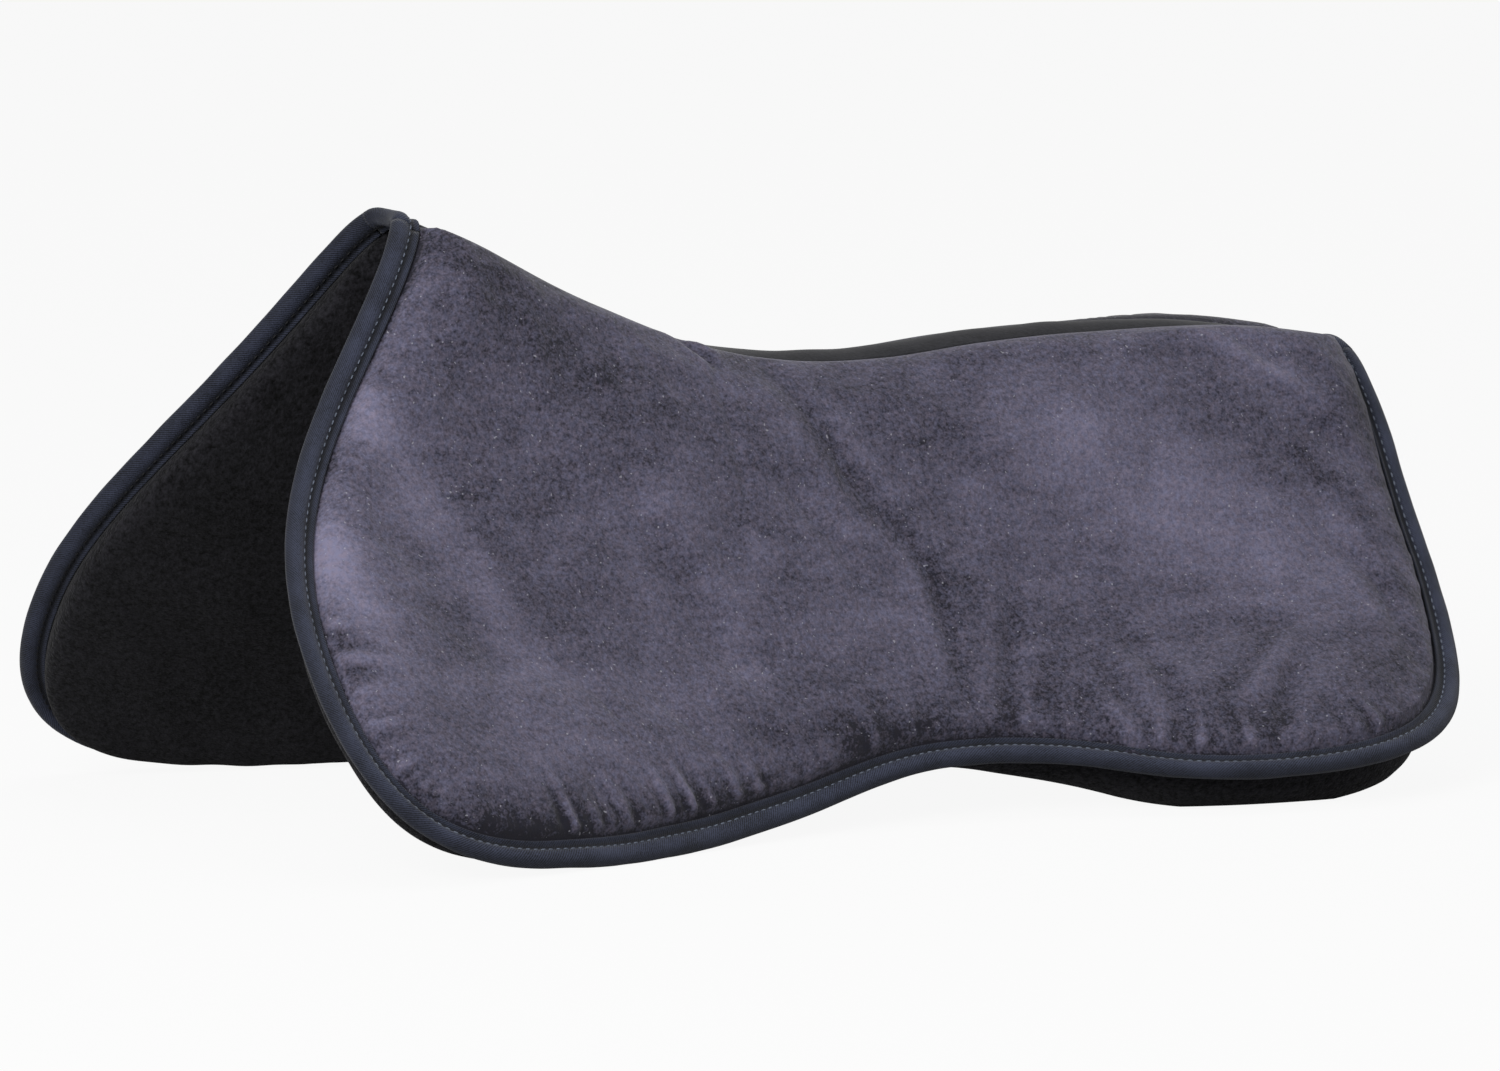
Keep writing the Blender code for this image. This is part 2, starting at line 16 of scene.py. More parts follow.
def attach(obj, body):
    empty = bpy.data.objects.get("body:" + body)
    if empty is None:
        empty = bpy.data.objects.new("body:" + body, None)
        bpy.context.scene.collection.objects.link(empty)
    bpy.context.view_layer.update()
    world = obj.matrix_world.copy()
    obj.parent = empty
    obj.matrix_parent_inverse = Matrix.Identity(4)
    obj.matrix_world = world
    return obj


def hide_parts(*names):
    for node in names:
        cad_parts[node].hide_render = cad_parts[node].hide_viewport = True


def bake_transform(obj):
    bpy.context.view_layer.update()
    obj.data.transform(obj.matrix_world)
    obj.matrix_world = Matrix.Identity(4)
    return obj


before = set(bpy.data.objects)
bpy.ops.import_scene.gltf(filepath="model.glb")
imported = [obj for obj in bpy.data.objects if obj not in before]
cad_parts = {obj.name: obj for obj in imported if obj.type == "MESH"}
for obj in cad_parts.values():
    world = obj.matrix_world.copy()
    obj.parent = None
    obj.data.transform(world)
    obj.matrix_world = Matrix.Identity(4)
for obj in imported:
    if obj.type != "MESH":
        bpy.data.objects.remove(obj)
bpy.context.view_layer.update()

LOG = logging.getLogger("half_pad")
FULL_TURN = 2 * math.pi
PADDING_WAVES, PADDING_WAVE_HEIGHT = 16, 0.00014
Array = np.ndarray
Body = tuple[Array, list]
Stations = tuple[tuple[float, float], ...]
Colour = tuple[float, float, float, float]


class Side(Enum):
    """The two wings, with the sign of their side of the spine."""

    LEFT = -1.0
    RIGHT = 1.0

    @property
    def label(self) -> str:
        """The side's name as the nodes spell it."""
        return self.name.lower()

    @property
    def body(self) -> str:
        """The body that this side's pieces ride on."""
        return f"{self.label}_wing"


class Face(Enum):
    """The tape's two faces, with the sign of their side of the hem."""

    OUTER = 1.0
    INNER = -1.0


# Numbers along lines


def smooth_through(stations: Stations, at: Array) -> Array:
    """Values of the smooth curve through stations.

    Args:
        stations: Pairs of place and value, in rising order of place.
        at: Places to read the curve at.

    Returns:
        The values, on straight lines past the two ends.
    """
    places, values = np.array(stations).T
    last = len(places) - 1
    below = np.maximum(np.arange(last + 1) - 1, 0)
    above = np.minimum(np.arange(last + 1) + 1, last)
    slopes = (values[above] - values[below]) / (places[above] - places[below])
    i = np.clip(np.searchsorted(places, at, side="right") - 1, 0, last - 1)
    run = places[i + 1] - places[i]
    t = (at - places[i]) / run
    curve = (
        (2 * t**3 - 3 * t**2 + 1) * values[i]
        + (t**3 - 2 * t**2 + t) * run * slopes[i]
        + (3 * t**2 - 2 * t**3) * values[i + 1]
        + (t**3 - t**2) * run * slopes[i + 1]
    )
    curve = np.where(at <= places[0], values[0] + (at - places[0]) * slopes[0], curve)
    return np.where(at >= places[last], values[last] + (at - places[last]) * slopes[last], curve)


def smooth_step(value: Array, start: float, end: float) -> Array:
    """0 before start, 1 after end, and a smooth rise between."""
    t = np.clip((value - start) / (end - start), 0.0, 1.0)
    return t * t * (3 - 2 * t)


def unit(vectors: Array) -> Array:
    """The same directions, each of length 1."""
    return vectors / np.maximum(np.linalg.norm(vectors, axis=-1, keepdims=True), 1e-12)


def arc_lengths(line: Array) -> Array:
    """Distance along a line from its start to each of its points."""
    return np.concatenate([[0.0], np.cumsum(np.linalg.norm(np.diff(line, axis=0), axis=1))])


def read_along(arc: Array, values: Array, at: Array) -> Array:
    """Rows of values, given by length along a line, read at other lengths."""
    return np.stack([np.interp(at, arc, column) for column in values.T], axis=1)


def square_to(line: Array) -> Array:
    """Directions square to a line of the flat cut, towards the middle of the pad."""
    along = unit(np.gradient(line, axis=0))
    return np.stack([along[:, 1], -along[:, 0]], axis=1)


def evenly_spaced(line: Array, spacing: float) -> Array:
    """The same line with points about one spacing apart."""
    arc = arc_lengths(line)
    count = max(int(round(arc[-1] / spacing)), 2)
    return read_along(arc, line, np.linspace(0.0, arc[-1], count + 1))


@dataclass
class Nearest:
    """Where each of some points lies from a line."""

    distance: Array
    foot: Array
    arc: Array


def nearest_on(line: Array, points: Array) -> Nearest:
    """Nearest places on a line.

    Args:
        line: The line's points, one row each.
        points: The points to measure from, one row each.

    Returns:
        Distance, foot on the line and length along the line, for each point.
    """
    start, step = line[:-1], np.diff(line, axis=0)
    square = (step**2).sum(axis=1) + 1e-18
    arc = arc_lengths(line)
    distance, foot, along = [], [], []
    for chunk in np.array_split(points, max(len(points) // 3000, 1)):
        share = np.clip(((chunk[:, None] - start) * step).sum(axis=2) / square, 0.0, 1.0)
        feet = start + share[..., None] * step
        away = np.linalg.norm(chunk[:, None] - feet, axis=2)
        k = away.argmin(axis=1)
        row = np.arange(len(chunk))
        distance.append(away[row, k])
        foot.append(feet[row, k])
        along.append(arc[k] + share[row, k] * np.sqrt(square[k]))
    return Nearest(np.concatenate(distance), np.concatenate(foot), np.concatenate(along))


# The pad's cut and fold


@dataclass(frozen=True)
class FoldedPad:
    """Sizes of the pad's flat cut, its fold over the spine and its layers, as its solids have them."""

    strip_half: float = 0.015
    pommel_x: float = -0.187
    pommel_rounding: float = 0.003
    flap_front: tuple[float, float] = (-0.287, 0.243)
    flap_low: tuple[float, float] = (-0.227, 0.327)
    waist: tuple[float, float] = (0.023, 0.214)
    lobe: tuple[float, float] = (0.177, 0.257)
    rear: tuple[float, float] = (0.293, 0.124)
    front_edge_lean: float = math.radians(25)
    handles: tuple[float, ...] = (0.086, 0.089, 0.043, 0.048, 0.081, 0.071, 0.069, 0.085, 0.1125, 0.003)
    spine_height: Stations = (
        (-0.295, 0.281), (-0.195, 0.2584), (-0.141, 0.2375), (-0.094, 0.2156), (-0.045, 0.196),
        (0.003, 0.1875), (0.051, 0.1878), (0.099, 0.1931), (0.147, 0.196), (0.2135, 0.1953),
        (0.280, 0.1860),
    )
    upper_slope: Stations = ((-0.295, 66.0), (-0.195, 70.0), (-0.045, 64.9), (0.099, 70.8), (0.280, 61.6))
    lower_slope: Stations = ((-0.295, 49.1), (-0.195, 50.6), (-0.045, 55.3), (0.099, 34.8), (0.280, 29.9))
    spine_rounding: Stations = ((-0.195, 0.0160), (0.040, 0.0299), (0.280, 0.0241))
    flare: tuple[float, float] = (0.067, 0.231)
    strip_sink: Stations = (
        (-0.187, 0.0038), (-0.150, 0.0045), (-0.100, 0.0050), (-0.060, 0.0035), (-0.020, 0.0010),
        (0.010, 0.0), (0.293, 0.0))
    suede_thickness: float = 0.0012
    fleece_thickness: float = 0.0020
    suede_crown: float = 0.010
    crown_run: float = 0.030
    seam_crown_run: Stations = (
        (-0.187, 0.014), (-0.150, 0.016), (-0.125, 0.028), (-0.050, 0.030), (0.000, 0.036), (0.050, 0.042),
        (0.100, 0.036), (0.150, 0.026), (0.200, 0.016), (0.293, 0.013))
    seam_swell: Stations = (
        (-0.187, 0.0030), (-0.160, 0.0020), (-0.135, 0.0), (-0.115, -0.0020), (-0.090, -0.0015),
        (-0.050, 0.0), (0.150, 0.0), (0.190, 0.0013), (0.220, 0.0038), (0.250, 0.0060), (0.293, 0.0065))
    swell_fades: tuple[float, float] = (0.025, 0.070)
    flap_padding: float = 0.015
    lobe_padding: float = 0.0311
    padding_change: tuple[float, float] = (-0.02, 0.12)
    spine_padding_share: float = 0.55
    spine_padding_run: float = 0.055
    tape_width: float = 0.0112
    hem_inset: float = 0.0023
    fit: float = 0.0003
    seam_inset: float = 0.0015
    lowered_by: float = 0.0026085
    tilt: float = -0.0264723
    centre_x: float = 0.003
    section_steps: int = 60
    probe: float = 0.0005

    def surface(self, plan: Array) -> Array:
        """Points of the folded hem surface, before the pad is levelled on the floor."""
        x, drop = plan[:, 0], plan[:, 1]
        upper = np.radians(smooth_through(self.upper_slope, x))[:, None]
        lower = np.radians(smooth_through(self.lower_slope, x))[:, None]
        rounding = np.maximum(smooth_through(self.spine_rounding, x), self.spine_rounding[0][1] / 2)
        s = (np.arange(self.section_steps) + 0.5) / self.section_steps * np.abs(drop)[:, None]
        slope = upper * (1 - np.exp(-s / rounding[:, None])) + (lower - upper) * smooth_step(s, *self.flare)
        y = np.cos(slope).mean(axis=1) * drop
        z = smooth_through(self.spine_height, x) - np.sin(slope).mean(axis=1) * np.abs(drop)
        sunk = smooth_through(self.strip_sink, x) * np.maximum(1 - (drop / self.strip_half) ** 2, 0.0) ** 2
        return np.stack([x, y, z - sunk], axis=1)

    def place(self, plan: Array, rise: Array | float) -> Array:
        """Points that stand off the hem surface.

        Args:
            plan: Place along the spine and drop from it in the flat cut, one row per point.
            rise: Distance off the hem surface, outwards if positive.

        Returns:
            The points in the row frame.
        """
        step_x, step_drop = np.array([self.probe, 0.0]), np.array([0.0, self.probe])
        along = self.surface(plan + step_x) - self.surface(plan - step_x)
        down = self.surface(plan + step_drop) - self.surface(plan - step_drop)
        points = self.surface(plan) + unit(np.cross(along, down)) * np.reshape(rise, (-1, 1))
        points[:, 2] += self.lowered_by + self.tilt * points[:, 0]
        points[:, 0] -= self.centre_x
        return points

    def crown(self, plan: Array, by_tape: Array, by_seam: Array) -> Array:
        """Height of the suede above its hem.

        Args:
            plan: Places in the flat cut.
            by_tape: Their distances inside the tape's lip.
            by_seam: Their distances inside the spine seam.

        Returns:
            The heights, highest by the seam at both ends.
        """
        fade = 1 - smooth_step(by_seam, *self.swell_fades)
        full = self.suede_crown + smooth_through(self.seam_swell, plan[:, 0]) * fade
        seam_run = smooth_through(self.seam_crown_run, plan[:, 0])
        t = np.clip(np.minimum(by_tape / self.crown_run, by_seam / seam_run), 0.0, 1.0)
        return full * np.sqrt(1 - (1 - t) ** 2)

    def padding(self, plan: Array) -> Array:
        """Depth that the lining reaches below its hem, away from the edges."""
        full = self.flap_padding + (self.lobe_padding - self.flap_padding) * smooth_step(
            plan[:, 0], *self.padding_change)
        by_spine = smooth_step(plan[:, 1], self.strip_half, self.strip_half + self.spine_padding_run)
        return full * (self.spine_padding_share + (1 - self.spine_padding_share) * by_spine)

    def pommel_end(self, drop: Array) -> Array:
        """Front end of the spine strip, a shallow arc over the pommel."""
        return self.pommel_x + self.pommel_rounding * (1 - (drop / self.strip_half) ** 2)

    def free_edge(self) -> Array:
        """The wing's taped edge in the flat cut, from the pommel round the flap and lobe to the rear."""
        pommel, seam = np.array([self.pommel_x, self.strip_half]), np.array([self.rear[0], self.strip_half])
        front, low, waist, lobe, rear = (
            np.array(p) for p in (self.flap_front, self.flap_low, self.waist, self.lobe, self.rear))
        lean = np.array([-math.sin(self.front_edge_lean), math.cos(self.front_edge_lean)])
        x, down, h = np.array([1.0, 0.0]), np.array([0.0, 1.0]), self.handles
        spans = (
            (pommel, pommel + lean * h[0], front - down * h[1], front),
            (front, front + down * h[2], low - x * h[3], low),
            (low, low + x * h[4], waist - x * h[5], waist),
            (waist, waist + x * h[6], lobe - x * h[7], lobe),
            (lobe, lobe + x * h[8], rear + down * h[9], rear),
            (rear, rear * 2 / 3 + seam / 3, rear / 3 + seam * 2 / 3, seam),
        )
        t = np.linspace(0.0, 1.0, 60)[:-1, None]
        curves = [(1 - t) ** 3 * a + 3 * t * (1 - t) ** 2 * b + 3 * t * t * (1 - t) * c + t**3 * d
                  for a, b, c, d in spans]
        return np.vstack([*curves, seam[None]])


class Outline:
    """A wing's taped edge as an evenly spaced line in the flat cut, with its inward directions."""

    def __init__(self, pad: FoldedPad, spacing: float) -> None:
        """Args: pad: the pad's sizes. spacing: distance between the line's points."""
        self.pad = pad
        self.taped = evenly_spaced(pad.free_edge(), spacing)
        self.inward = square_to(self.taped)

    def moved_in(self, distance: float) -> Array:
        """The taped edge moved inwards, without the points that corners would fold over."""
        line = self.taped + self.inward * distance
        clear = nearest_on(self.taped, line).distance > distance - 2e-5
        return line[clear & (line[:, 1] > self.pad.strip_half)]

    def lip_depth(self, plan: Array) -> Array:
        """Distance of each point inside the tape's lip or the spine seam, whichever is nearer."""
        taped = nearest_on(self.taped, plan).distance - self.pad.tape_width
        return np.minimum(taped, plan[:, 1] - self.pad.strip_half - self.pad.seam_inset)


@dataclass(frozen=True)
class Crease:
    """A soft crease, or a ridge if its height is positive, along points of the flat cut."""

    line: Array
    height: float
    width: float

    def relief(self, plan: Array) -> Array:
        """Height that it adds at each point, fading out at its ends."""
        line = evenly_spaced(self.line, 0.004)
        near = nearest_on(line, plan)
        share = near.arc / arc_lengths(line)[-1]
        taper = np.sin(math.pi * np.clip(share, 0.02, 0.98)) ** 0.6
        flank = 0.35 * np.exp(-(((near.distance - 2.2 * self.width) / self.width) ** 2))
        return self.height * taper * (np.exp(-((near.distance / self.width) ** 2)) - flank)


@dataclass(frozen=True)
class Pucker:
    """A short gather where the cloth is drawn in under the tape, at a place of the flat cut."""

    at: tuple[float, float]
    height: float
    width: float
    reach: float

    def relief(self, arc: Array, depth: Array, own_arc: float) -> Array:
        """Height that it adds.

        Args:
            arc: Each point's length along the tape.
            depth: Each point's depth inside the tape.
            own_arc: The gather's length along the tape.

        Returns:
            A ridge with a hollow on each side, which dies away from the tape.
        """
        across = (arc - own_arc) / self.width
        ridge = np.exp(-(across**2))
        hollow = 0.75 * (np.exp(-((across - 1.8) ** 2)) + np.exp(-((across + 1.8) ** 2)))
        fade = np.exp(-((np.maximum(depth, 0.0) / self.reach) ** 1.6)) * smooth_step(depth, 0.0008, 0.0045)
        return self.height * (ridge - hollow) * fade


@dataclass(frozen=True)
class NapPatch:
    """A patch of lighter or darker suede, darker if its shade is negative: brushed nap, or painted light and
    painted shade where light falls on the pad.
    """

    centre: tuple[float, float]
    radii: tuple[float, float]
    turn: float
    shade: float

    def mask(self, plan: Array) -> Array:
        """The patch's share of the shade at each point."""
        c, s = math.cos(math.radians(self.turn)), math.sin(math.radians(self.turn))
        offset = plan - np.array(self.centre)
        u = (offset[:, 0] * c + offset[:, 1] * s) / self.radii[0]
        v = (offset[:, 1] * c - offset[:, 0] * s) / self.radii[1]
        return self.shade * np.exp(-(u**2 + v**2))


def waves_over(plan: Array, seed: int, shortest: float, longest: float) -> Array:
    """Slight unevenness of padding, as waves that run every way.

    Args:
        plan: Places in the flat cut.
        seed: Number that the waves come from.
        shortest: Least length of a wave.
        longest: Greatest length of a wave.

    Returns:
        Their height at each place.
    """
    rng = np.random.default_rng(seed)
    waves = np.zeros(len(plan))
    for _ in range(PADDING_WAVES):
        turn, phase = rng.uniform(0, FULL_TURN, 2)
        length = rng.uniform(shortest, longest)
        waves += np.sin(plan @ np.array([math.cos(turn), math.sin(turn)]) * FULL_TURN / length + phase)
    return waves * PADDING_WAVE_HEIGHT


class CutCloth:
    """A wing's cloth as flat triangles, closest together by its edges."""

    BANDS = (-0.0017, -0.0002, 0.0005, 0.0011, 0.0019, 0.0029, 0.0042, 0.0058, 0.0078, 0.0102, 0.0130)
    SEAM_CLEARANCE, RING_CLEARANCE = 0.0004, 0.0003
    GRID_X, GRID_DROP = (-0.30, 0.30), (0.015, 0.34)
    MERGED_WITHIN = 1e-7

    def __init__(self, outline: Outline, hidden: float, spacing: float,
                 bands: tuple[float, ...] = BANDS) -> None:
        """Lays points out by the edges and over the middle, and joins them.

        Args:
            outline: The wing's edge.
            hidden: Distance that the cloth runs on under the tape's lip.
            spacing: Distance between points away from the edges.
            bands: Depths inside the lip and the seam at which rows of points follow the edge.
        """
        pad = outline.pad
        self.outline = outline
        seam_row = pad.strip_half + pad.fit / 2
        ring = self._ring(outline.moved_in(pad.tape_width - hidden), seam_row, spacing)
        inner = []
        for depth in bands:
            by_tape = outline.moved_in(pad.tape_width + depth)
            inner.append(by_tape[by_tape[:, 1] > pad.strip_half + pad.seam_inset + depth])
            x = np.arange(pad.pommel_x, pad.rear[0], spacing)
            by_seam = np.stack([x, np.full(len(x), pad.strip_half + pad.seam_inset + depth)], axis=1)
            clear = nearest_on(outline.taped, by_seam).distance > pad.tape_width + depth
            inner.append(by_seam[clear])
        grid = self._grid(spacing)
        inner.append(grid[outline.lip_depth(grid) > bands[-1] + 0.55 * spacing])
        points = np.vstack([ring, *inner])
        inside = self._inside(ring, points[len(ring):])
        points = np.vstack([ring, points[len(ring):][inside]])
        made = delaunay_2d_cdt([Vector(p) for p in points.tolist()], [], [list(range(len(ring)))], 1,
                               self.MERGED_WITHIN)
        self.plan = np.array([tuple(v) for v in made[0]])
        faces = np.array(made[2])
        a, b, c = (self.plan[faces[:, k]] for k in range(3))
        turned = (b[:, 0] - a[:, 0]) * (c[:, 1] - a[:, 1]) < (b[:, 1] - a[:, 1]) * (c[:, 0] - a[:, 0])
        faces[turned] = faces[turned][:, ::-1]
        self.faces = faces
        self.border = border_of(faces)
        near = nearest_on(outline.taped, self.plan)
        self.arc = near.arc
        self.by_tape = near.distance - pad.tape_width
        self.by_seam = self.plan[:, 1] - pad.strip_half - pad.seam_inset
        self.depth = np.minimum(self.by_tape, self.by_seam)
        away = unit(self.plan - near.foot)
        self.away = np.where((self.by_tape < self.by_seam)[:, None], away, np.array([0.0, 1.0]))

    def _ring(self, line: Array, seam_row: float, spacing: float) -> Array:
        """The cloth's border: the line beneath the tape, closed along the seam."""
        line = line[line[:, 1] > seam_row + self.SEAM_CLEARANCE]
        ends = []
        for a, b in ((line[0], line[1]), (line[-1], line[-2])):
            run = (seam_row - a[1]) / (b[1] - a[1]) if abs(b[1] - a[1]) > 1e-9 else 0.0
            ends.append(np.array([a[0] + (b[0] - a[0]) * max(run, -6.0), seam_row]))
        x = np.linspace(ends[1][0], ends[0][0], int((ends[1][0] - ends[0][0]) / spacing))
        return np.vstack([line, np.stack([x, np.full(len(x), seam_row)], axis=1)])

    def _grid(self, spacing: float) -> Array:
        """Points of an even triangular grid over the whole wing."""
        rows = np.arange(*self.GRID_DROP, spacing * math.sqrt(3) / 2)
        x = np.arange(*self.GRID_X, spacing)
        return np.vstack([np.stack([x + (k % 2) * spacing / 2, np.full(len(x), r)], axis=1)
                          for k, r in enumerate(rows)])

    def _inside(self, ring: Array, points: Array) -> Array:
        """Which points lie inside the ring, a little clear of it."""
        a, b = ring, np.roll(ring, -1, axis=0)
        x, y = points[:, 0][:, None], points[:, 1][:, None]
        crosses = (a[:, 1] > y) != (b[:, 1] > y)
        height = b[:, 1] - a[:, 1]
        at = a[:, 0] + (y - a[:, 1]) * (b[:, 0] - a[:, 0]) / np.where(height == 0, 1.0, height)
        inside = (crosses & (x < at)).sum(axis=1) % 2 == 1
        closed = np.vstack([ring, ring[:1]])
        return inside & (nearest_on(closed, points).distance > self.RING_CLEARANCE)


# Meshes


def add_object(name: str, data: bpy.types.ID) -> Object:
    """A new object in the scene."""
    made = bpy.data.objects.new(name, data)
    bpy.context.scene.collection.objects.link(made)
    return made


def make_mesh(name: str, points: Array, faces: list | Array) -> Object:
    """A shown object whose place is in its mesh.

    Args:
        name: The piece's name.
        points: Corners in the row frame.
        faces: Corner numbers of each face, anticlockwise from outside.

    Returns:
        The object, shaded smooth.
    """
    mesh = bpy.data.meshes.new(name)
    mesh.from_pydata(points.tolist(), [], faces.tolist() if isinstance(faces, Array) else faces)
    mesh.validate()
    mesh.shade_smooth()
    return add_object(name, mesh)


def vertex_normals(points: Array, faces: Array) -> Array:
    """Direction in which the surface faces at each corner."""
    a, b, c = (points[faces[:, k]] for k in range(3))
    across = np.cross(b - a, c - a)
    total = np.zeros_like(points)
    for k in range(3):
        np.add.at(total, faces[:, k], across)
    return unit(total)


def border_of(faces: Array) -> Array:
    """The border's corners in order, as edges that only one triangle has."""
    edges = np.vstack([faces[:, [0, 1]], faces[:, [1, 2]], faces[:, [2, 0]]])
    known = {(int(a), int(b)) for a, b in edges}
    after = {a: b for a, b in known if (b, a) not in known}
    start = next(iter(after))
    ring = [start]
    while after[ring[-1]] != start:
        ring.append(after[ring[-1]])
    return np.array(ring)


def closed_shell(points: Array, faces: Array, border: Array,
                 back: Array) -> Body:
    """A sheet and its back, joined round their border.

    Args:
        points: Corners of the face that shows.
        faces: Triangles of that face, anticlockwise from outside.
        border: The border's corners, in the order of the triangles' edges.
        back: Corners of the back, one for each of points.

    Returns:
        Corners and faces of the closed body.
    """
    count = len(points)
    onward = np.roll(border, -1)
    rim = np.stack([border, border + count, onward + count, onward], axis=1)
    return np.vstack([points, back]), [*faces.tolist(), *(faces[:, ::-1] + count).tolist(), *rim.tolist()]


def joined(bodies: list[Body]) -> Body:
    """Several bodies as one mesh's corners and faces."""
    starts = np.cumsum([0, *(len(points) for points, _ in bodies)])
    faces = [[corner + int(start) for corner in face]
             for start, (_, own) in zip(starts, bodies) for face in own]
    return np.vstack([points for points, _ in bodies]), faces


def mirrored(points: Array, faces: list) -> Body:
    """The same body on the other wing, facing out."""
    return points * np.array([1.0, -1.0, 1.0]), [tuple(reversed(f)) for f in faces]


def set_values(piece: Object, name: str, values: Array) -> None:
    """Stores one number per corner for the material to read."""
    layer = piece.data.attributes.new(name, "FLOAT", "POINT")
    layer.data.foreach_set("value", values.astype(np.float32))


@dataclass(frozen=True)
class Swelling:
    """How a sheet that is held at its border swells and buckles as cloth."""

    cap: float = 0.0014
    pressure: float = 0.35
    spare: float = 0.012
    frames: int = 12
    quality: int = 4
    mass: float = 0.3
    stretch: float = 15
    shear: float = 5
    bending: float = 0.6

    def run(self, points: Array, faces: Array, held: Array) -> Array:
        """Runs the cloth.

        Args:
            points: The sheet's corners.
            faces: Its triangles.
            held: Which corners stay where they are.

        Returns:
            The corners after the swelling, moved by less than the cap.
        """
        sheet = make_mesh("swelling", points, faces)
        sheet.vertex_groups.new(name="held").add(np.flatnonzero(held).tolist(), 1.0, "REPLACE")
        cloth = sheet.modifiers.new("cloth", "CLOTH")
        for name, value in {
            "quality": self.quality, "mass": self.mass, "tension_stiffness": self.stretch,
            "compression_stiffness": self.stretch, "shear_stiffness": self.shear,
            "bending_stiffness": self.bending, "use_pressure": True,
            "uniform_pressure_force": self.pressure, "shrink_min": -self.spare,
            "vertex_group_mass": "held",
        }.items():
            setattr(cloth.settings, name, value)
        cloth.settings.effector_weights.gravity = 0.0
        cloth.collision_settings.use_self_collision = False
        cloth.point_cache.frame_start, cloth.point_cache.frame_end = 1, self.frames
        scene = bpy.context.scene
        for number in range(1, self.frames + 1):
            scene.frame_set(number)
        evaluated = sheet.evaluated_get(bpy.context.evaluated_depsgraph_get())
        moved = np.empty(len(points) * 3, dtype=np.float32)
        evaluated.data.vertices.foreach_get("co", moved)
        scene.frame_set(1)
        bpy.data.objects.remove(sheet, do_unlink=True)
        step = moved.reshape(-1, 3).astype(float) - points
        length = np.linalg.norm(step, axis=1, keepdims=True)
        LOG.info("swelling: mean %.2f mm, most %.2f mm", length.mean() * 1000, length.max() * 1000)
        return points + step * self.cap * np.tanh(length / self.cap) / np.maximum(length, 1e-9)


# Materials


class NodeSheet:
    """A node tree with short calls to add and join its nodes."""

    def __init__(self, tree: NodeTree) -> None:
        """Args: tree: the tree to add to."""
        self.tree = tree

    def add(self, kind: str, inputs: dict | None = None, **settings: object) -> Node:
        """A new node.

        Args:
            kind: Its type.
            inputs: Value or output socket for each named or numbered input.
            **settings: Its own properties.

        Returns:
            The node.
        """
        node = self.tree.nodes.new(kind)
        for name, value in settings.items():
            setattr(node, name, value)
        for name, value in (inputs or {}).items():
            if isinstance(value, NodeSocket):
                self.tree.links.new(value, node.inputs[name])
            else:
                node.inputs[name].default_value = value
        return node

    def join(self, node: Node, **values: NodeSocket) -> None:
        """Links values to a node's inputs, with _ in an input's name for a space."""
        for name, value in values.items():
            self.tree.links.new(value, node.inputs[name.replace("_", " ")])

    def math(self, operation: str, a: object, b: object = 0.0) -> NodeSocket:
        """Result of a sum on two numbers or sockets."""
        return self.add("ShaderNodeMath", {0: a, 1: b}, operation=operation).outputs[0]

    def weighted(self, *terms: tuple[object, float]) -> NodeSocket:
        """Sum of values, each times its weight."""
        parts = [self.math("MULTIPLY", value, weight) for value, weight in terms]
        total = parts[0]
        for part in parts[1:]:
            total = self.math("ADD", total, part)
        return total

    def mix(self, share: object, a: object, b: object, blend: str = "MIX") -> NodeSocket:
        """Colour between two colours."""
        inputs = {0: share, 6: a, 7: b}
        return self.add("ShaderNodeMix", inputs, data_type="RGBA", blend_type=blend).outputs[2]

    def spread(self, value: object, low: float, high: float) -> NodeSocket:
        """0 to 1 as value goes from low to high."""
        inputs = {"Value": value, "From Min": low, "From Max": high}
        return self.add("ShaderNodeMapRange", inputs).outputs["Result"]

    def noise(self, place: object, scale: object, detail: float, roughness: float = 0.5,
              distortion: float = 0.0) -> NodeSocket:
        """A cloud texture's value at a place."""
        return self.add("ShaderNodeTexNoise", {
            "Vector": place, "Scale": scale, "Detail": detail, "Roughness": roughness,
            "Distortion": distortion}).outputs[0]

    def stored(self, name: str) -> NodeSocket:
        """One of the piece's own values."""
        return self.add("ShaderNodeAttribute", attribute_name=name).outputs["Fac"]

    def place(self) -> NodeSocket:
        """The place in the piece."""
        return self.add("ShaderNodeTexCoord").outputs["Object"]


def new_group(kind: str, name: str, inputs: dict[str, float | None],
              outputs: tuple[str, ...]) -> tuple[NodeSheet, Node, Node]:
    """An empty node group.

    Args:
        kind: The tree's type.
        name: The group's name.
        inputs: Each input with its value. One called Vector or Geometry is of that type instead.
        outputs: The outputs' names.

    Returns:
        The group's sheet, and its first and last nodes.
    """
    tree = bpy.data.node_groups.new(name, kind)
    for side, labels in (("INPUT", inputs), ("OUTPUT", outputs)):
        for label in labels:
            number = label not in ("Vector", "Geometry")
            socket = tree.interface.new_socket(
                label, in_out=side, socket_type=f"NodeSocket{'Float' if number else label}")
            if number and side == "INPUT":
                socket.default_value = inputs[label]
    sheet = NodeSheet(tree)
    return sheet, sheet.add("NodeGroupInput"), sheet.add("NodeGroupOutput")


